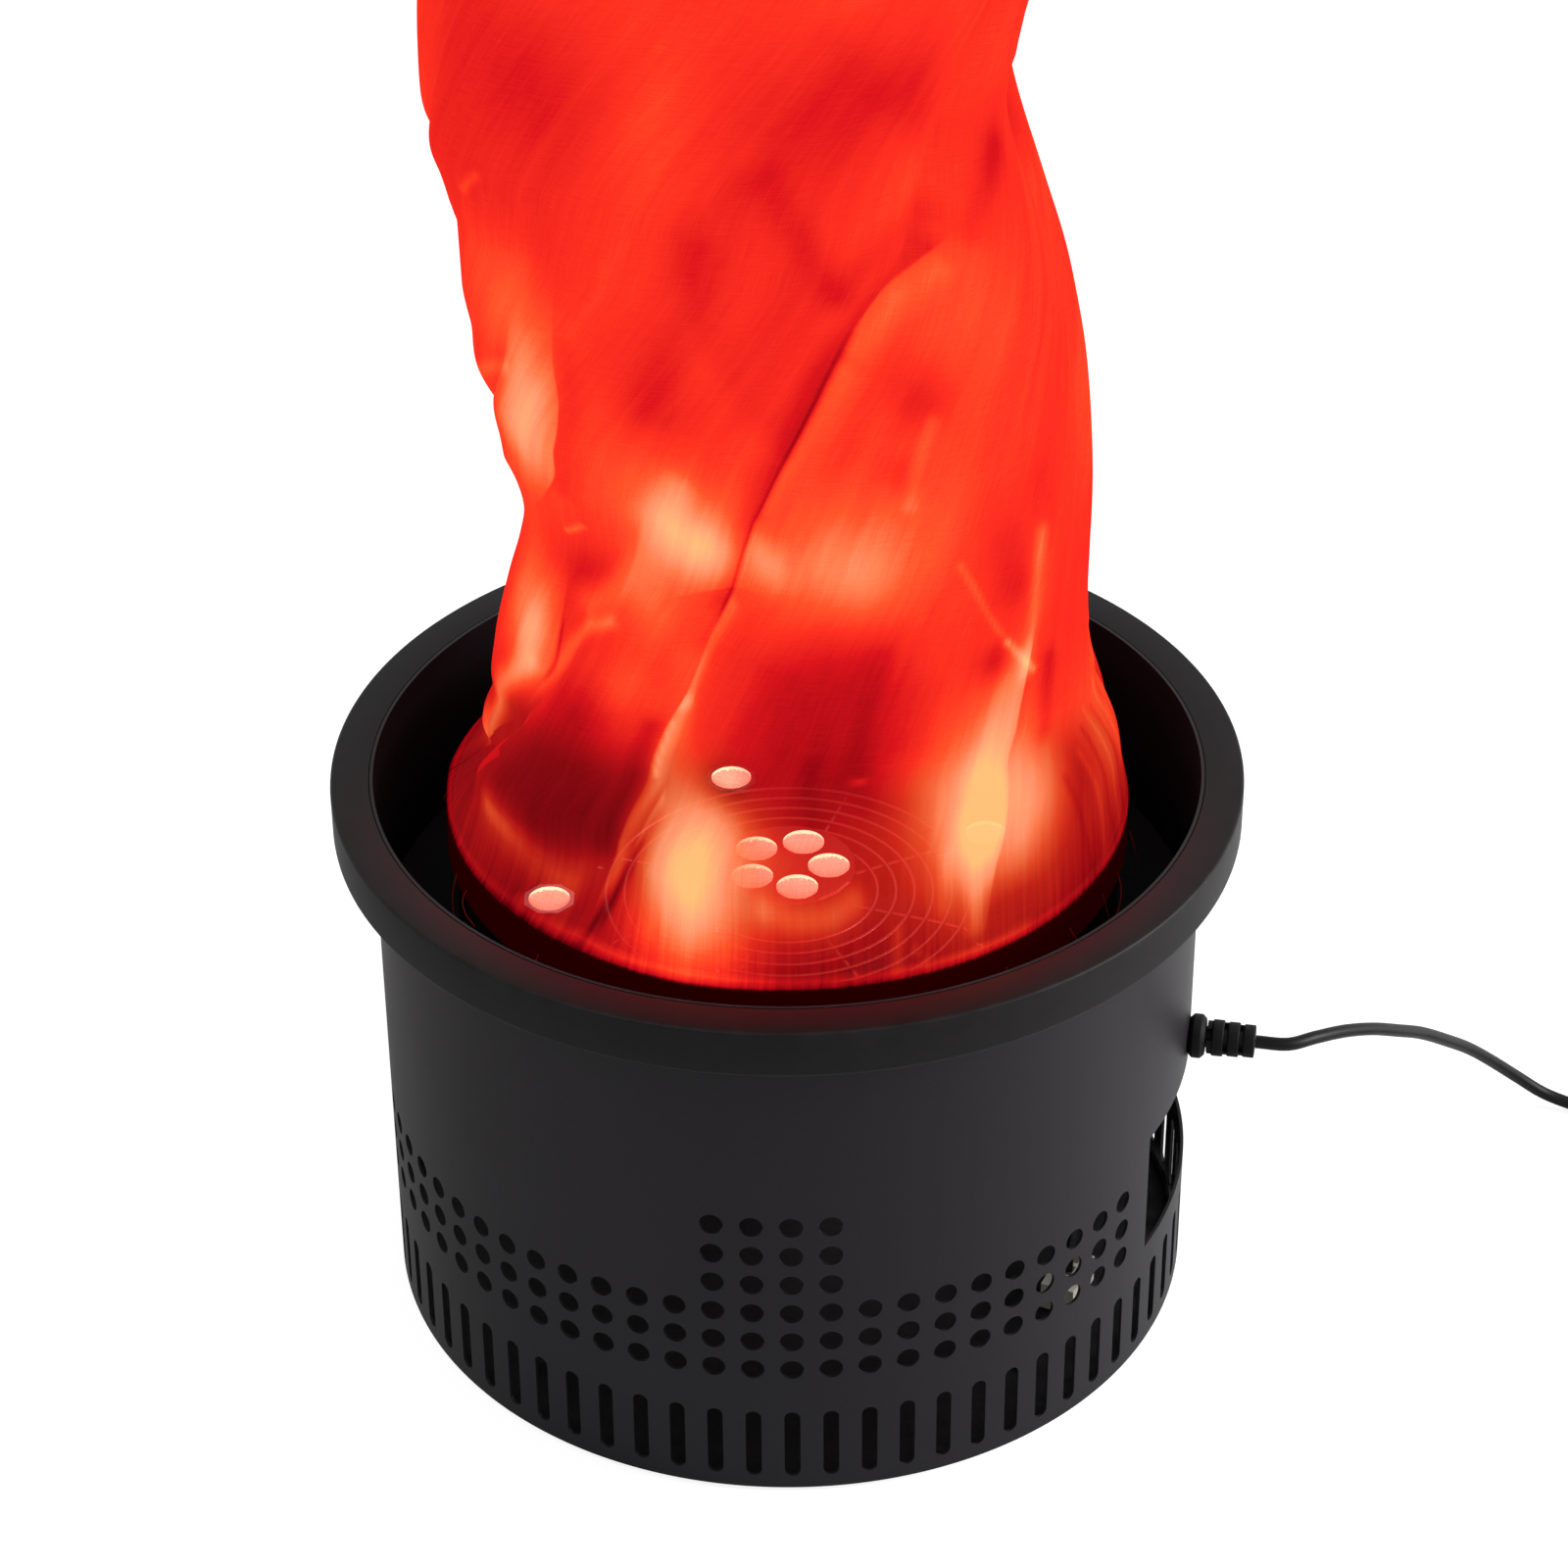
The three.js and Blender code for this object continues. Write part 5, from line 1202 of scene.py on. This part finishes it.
def make_silk():
    heights = SILK_HEM["top"] + places_of(SILK_ROWS, SILK_RISE)[:, None]
    columns = places_of(SILK_COLUMNS, 180.0)
    azimuths = np.repeat(columns[None, :], len(heights), 0)
    points, drawn = cloth_points(azimuths, heights)
    z, count = points[:, :, 2], len(columns)
    faces = [(k, k + 1, k + 1 + count, k + count)
             for row in range(len(heights) - 1) for k in range(row * count, (row + 1) * count - 1)]
    mesh = bpy.data.meshes.new("silk_cloth")
    mesh.from_pydata([tuple(p) for p in points.reshape(-1, 3) * MM], [], faces)

    lit_left, lit_right, side, thin = light_of(azimuths, heights)
    plain = np.clip((z - FOLD_SHADE["above"]) / FOLD_SHADE["over"], 0, 1)
    plain += np.clip((np.abs(azimuths) - FOLD_SHADE["beyond"]) / FOLD_SHADE["within"], 0, 1)
    shade = np.clip(plain, 0, 1) * FOLD_SHADE["amount"] * (drawn - drawn.mean(1, keepdims=True))
    shade *= np.clip((z - FOLD_SHADE["hem"]) / FOLD_SHADE["rise"], 0, 1)
    sheer = np.interp(heights, *SHEER) + all_of(SHEER_SPOTS, azimuths * DEGREE, z)
    kept = {"lit_left": lit_left - shade, "lit_right": lit_right - shade, "crease_side": side,
            "crease_thin": thin, "sheer": np.clip(sheer, 0, MOST_SHEER)}
    for name, values in kept.items():
        stored = mesh.attributes.new(name, "FLOAT", "POINT").data
        stored.foreach_set("value", values.ravel().astype(np.float32))

    loops = np.empty(len(mesh.loops), np.int64)
    mesh.loops.foreach_get("vertex_index", loops)
    row, column = np.divmod(loops, count)
    turn = np.interp(heights[:, 0], *WEAVE_TURN)
    run = np.radians(columns[column] - turn[row]) * SILK_HEM["radius"] * MM
    steps = np.linalg.norm(np.diff(points, axis=0), axis=2).mean(1)
    along = np.concatenate([[0], np.cumsum(steps)]) * MM
    places = np.stack([run, along[row]], 1).ravel().astype(np.float32)
    mesh.uv_layers.new(name="cloth").data.foreach_set("uv", places)
    mesh.materials.append(SILK)
    mesh.shade_smooth()
    made = link(mesh, "silk_cloth")
    ride(made, "red_silk", "silk_flame")
    make_threads()


make_silk()


# Pieces that keep their solids: start of the name, finish, and width of the softened edges in millimetres
FINISHES = [
    ("bottom_plate", BLACK_COAT, 0), ("fan_frame", BLACK_PLASTIC, 0.6), ("fan_rotor", BLACK_PLASTIC, 0.3),
    ("motor_stator", WINDING, 0), ("motor_bearing", BEARING_STEEL, 0), ("guard_screw", SCREW_STEEL, 0.4),
    ("cluster_base", RED_LIT_ALUMINIUM, 0.6), ("cluster_board", LED_BOARD, 0),
    ("cluster_cover", RED_LIT_ALUMINIUM, 0.4), ("lamp_holder", ALUMINIUM, 0.4), ("lamp_board", LED_BOARD, 0),
    ("power_supply", CASE_STEEL, 1.2), ("supply_screw", SCREW_STEEL, 0.4),
    ("terminal_block", WHITE_PLASTIC, 0.6), ("inner_lead", CORD_JACKET, 0), ("gland_nut", BLACK_PLASTIC, 0.6),
    ("plug_blade", BRASS, 0.3), ("plug_earth", BRASS, 0.4),
]


def finish_node(node, material, width):
    for slot in node.material_slots:
        slot.material = material
    if not node.material_slots:
        node.data.materials.append(material)
    if width:
        bevel = node.modifiers.new("bevel", "BEVEL")
        bevel.width, bevel.segments, bevel.limit_method = width * MM, 2, "ANGLE"
        bevel.angle_limit = math.radians(38)
        bevel.harden_normals = True


for name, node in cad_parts.items():
    for start, material, width in FINISHES:
        if name.startswith(start) and not node.hide_render:
            finish_node(node, material, width)


# Floor, world and lights

WHITE = (1, 1, 1, 1)


def make_world():
    """Soft even light, and plain white to the camera, in shine and through glass."""
    world = bpy.data.worlds.new("studio")
    bpy.context.scene.world = world
    world.use_nodes = True
    nodes = Nodes(world.node_tree)
    path = nodes.add("ShaderNodeLightPath")
    seen = nodes.math("MAXIMUM", path["Is Camera Ray"], path["Is Glossy Ray"])
    seen = nodes.math("MAXIMUM", seen, path["Is Transmission Ray"])
    soft = world.node_tree.nodes["Background"]
    nodes.feed(soft, {"Color": WHITE, "Strength": 0.55})
    bright = nodes.add("ShaderNodeBackground", {"Color": WHITE, "Strength": 1.0})[0]
    mixed = nodes.add("ShaderNodeMixShader", {0: seen, 1: soft.outputs[0], 2: bright})[0]
    nodes.feed(world.node_tree.nodes["World Output"], {"Surface": mixed})


def make_floor():
    size = 6.0
    mesh = bpy.data.meshes.new("floor")
    mesh.from_pydata([(-size, -size, 0), (size, -size, 0), (size, size, 0), (-size, size, 0)], [],
                     [(0, 1, 2, 3)])
    floor = link(mesh, "floor")
    made, nodes, shader = new_material("pale_floor")
    nodes.feed(shader, {"Base Color": (0.9, 0.9, 0.9, 1), "Roughness": 0.9, "Specular IOR Level": 0.0})
    glow = nodes.add("ShaderNodeEmission", {"Color": WHITE, "Strength": 0.84})[0]
    faint = nodes.add("ShaderNodeBsdfDiffuse", {"Color": (0.34, 0.34, 0.34, 1)})[0]
    both = nodes.add("ShaderNodeAddShader", {0: faint, 1: glow})[0]
    path = nodes.add("ShaderNodeLightPath")
    mixed = nodes.add("ShaderNodeMixShader", {0: path["Is Camera Ray"], 1: shader.outputs[0], 2: both})[0]
    nodes.feed(made.node_tree.nodes["Material Output"], {"Surface": mixed})
    mesh.materials.append(made)


def make_lamp(name, place, target, size, power):
    data = bpy.data.lights.new(name, "AREA")
    data.size, data.energy = size, power
    made = link(data, name)
    made.location = place
    made.rotation_mode = "QUATERNION"
    made.rotation_quaternion = (Vector(target) - Vector(place)).to_track_quat("-Z", "Y")


make_world()
make_floor()
make_lamp("key", (-1.6, -1.4, 2.6), (0, 0, 0.2), 1.6, 18)
make_lamp("side", (2.3, -0.2, 1.0), (0, 0, 0.15), 1.2, 85)
bpy.context.scene.view_settings.view_transform = "Standard"
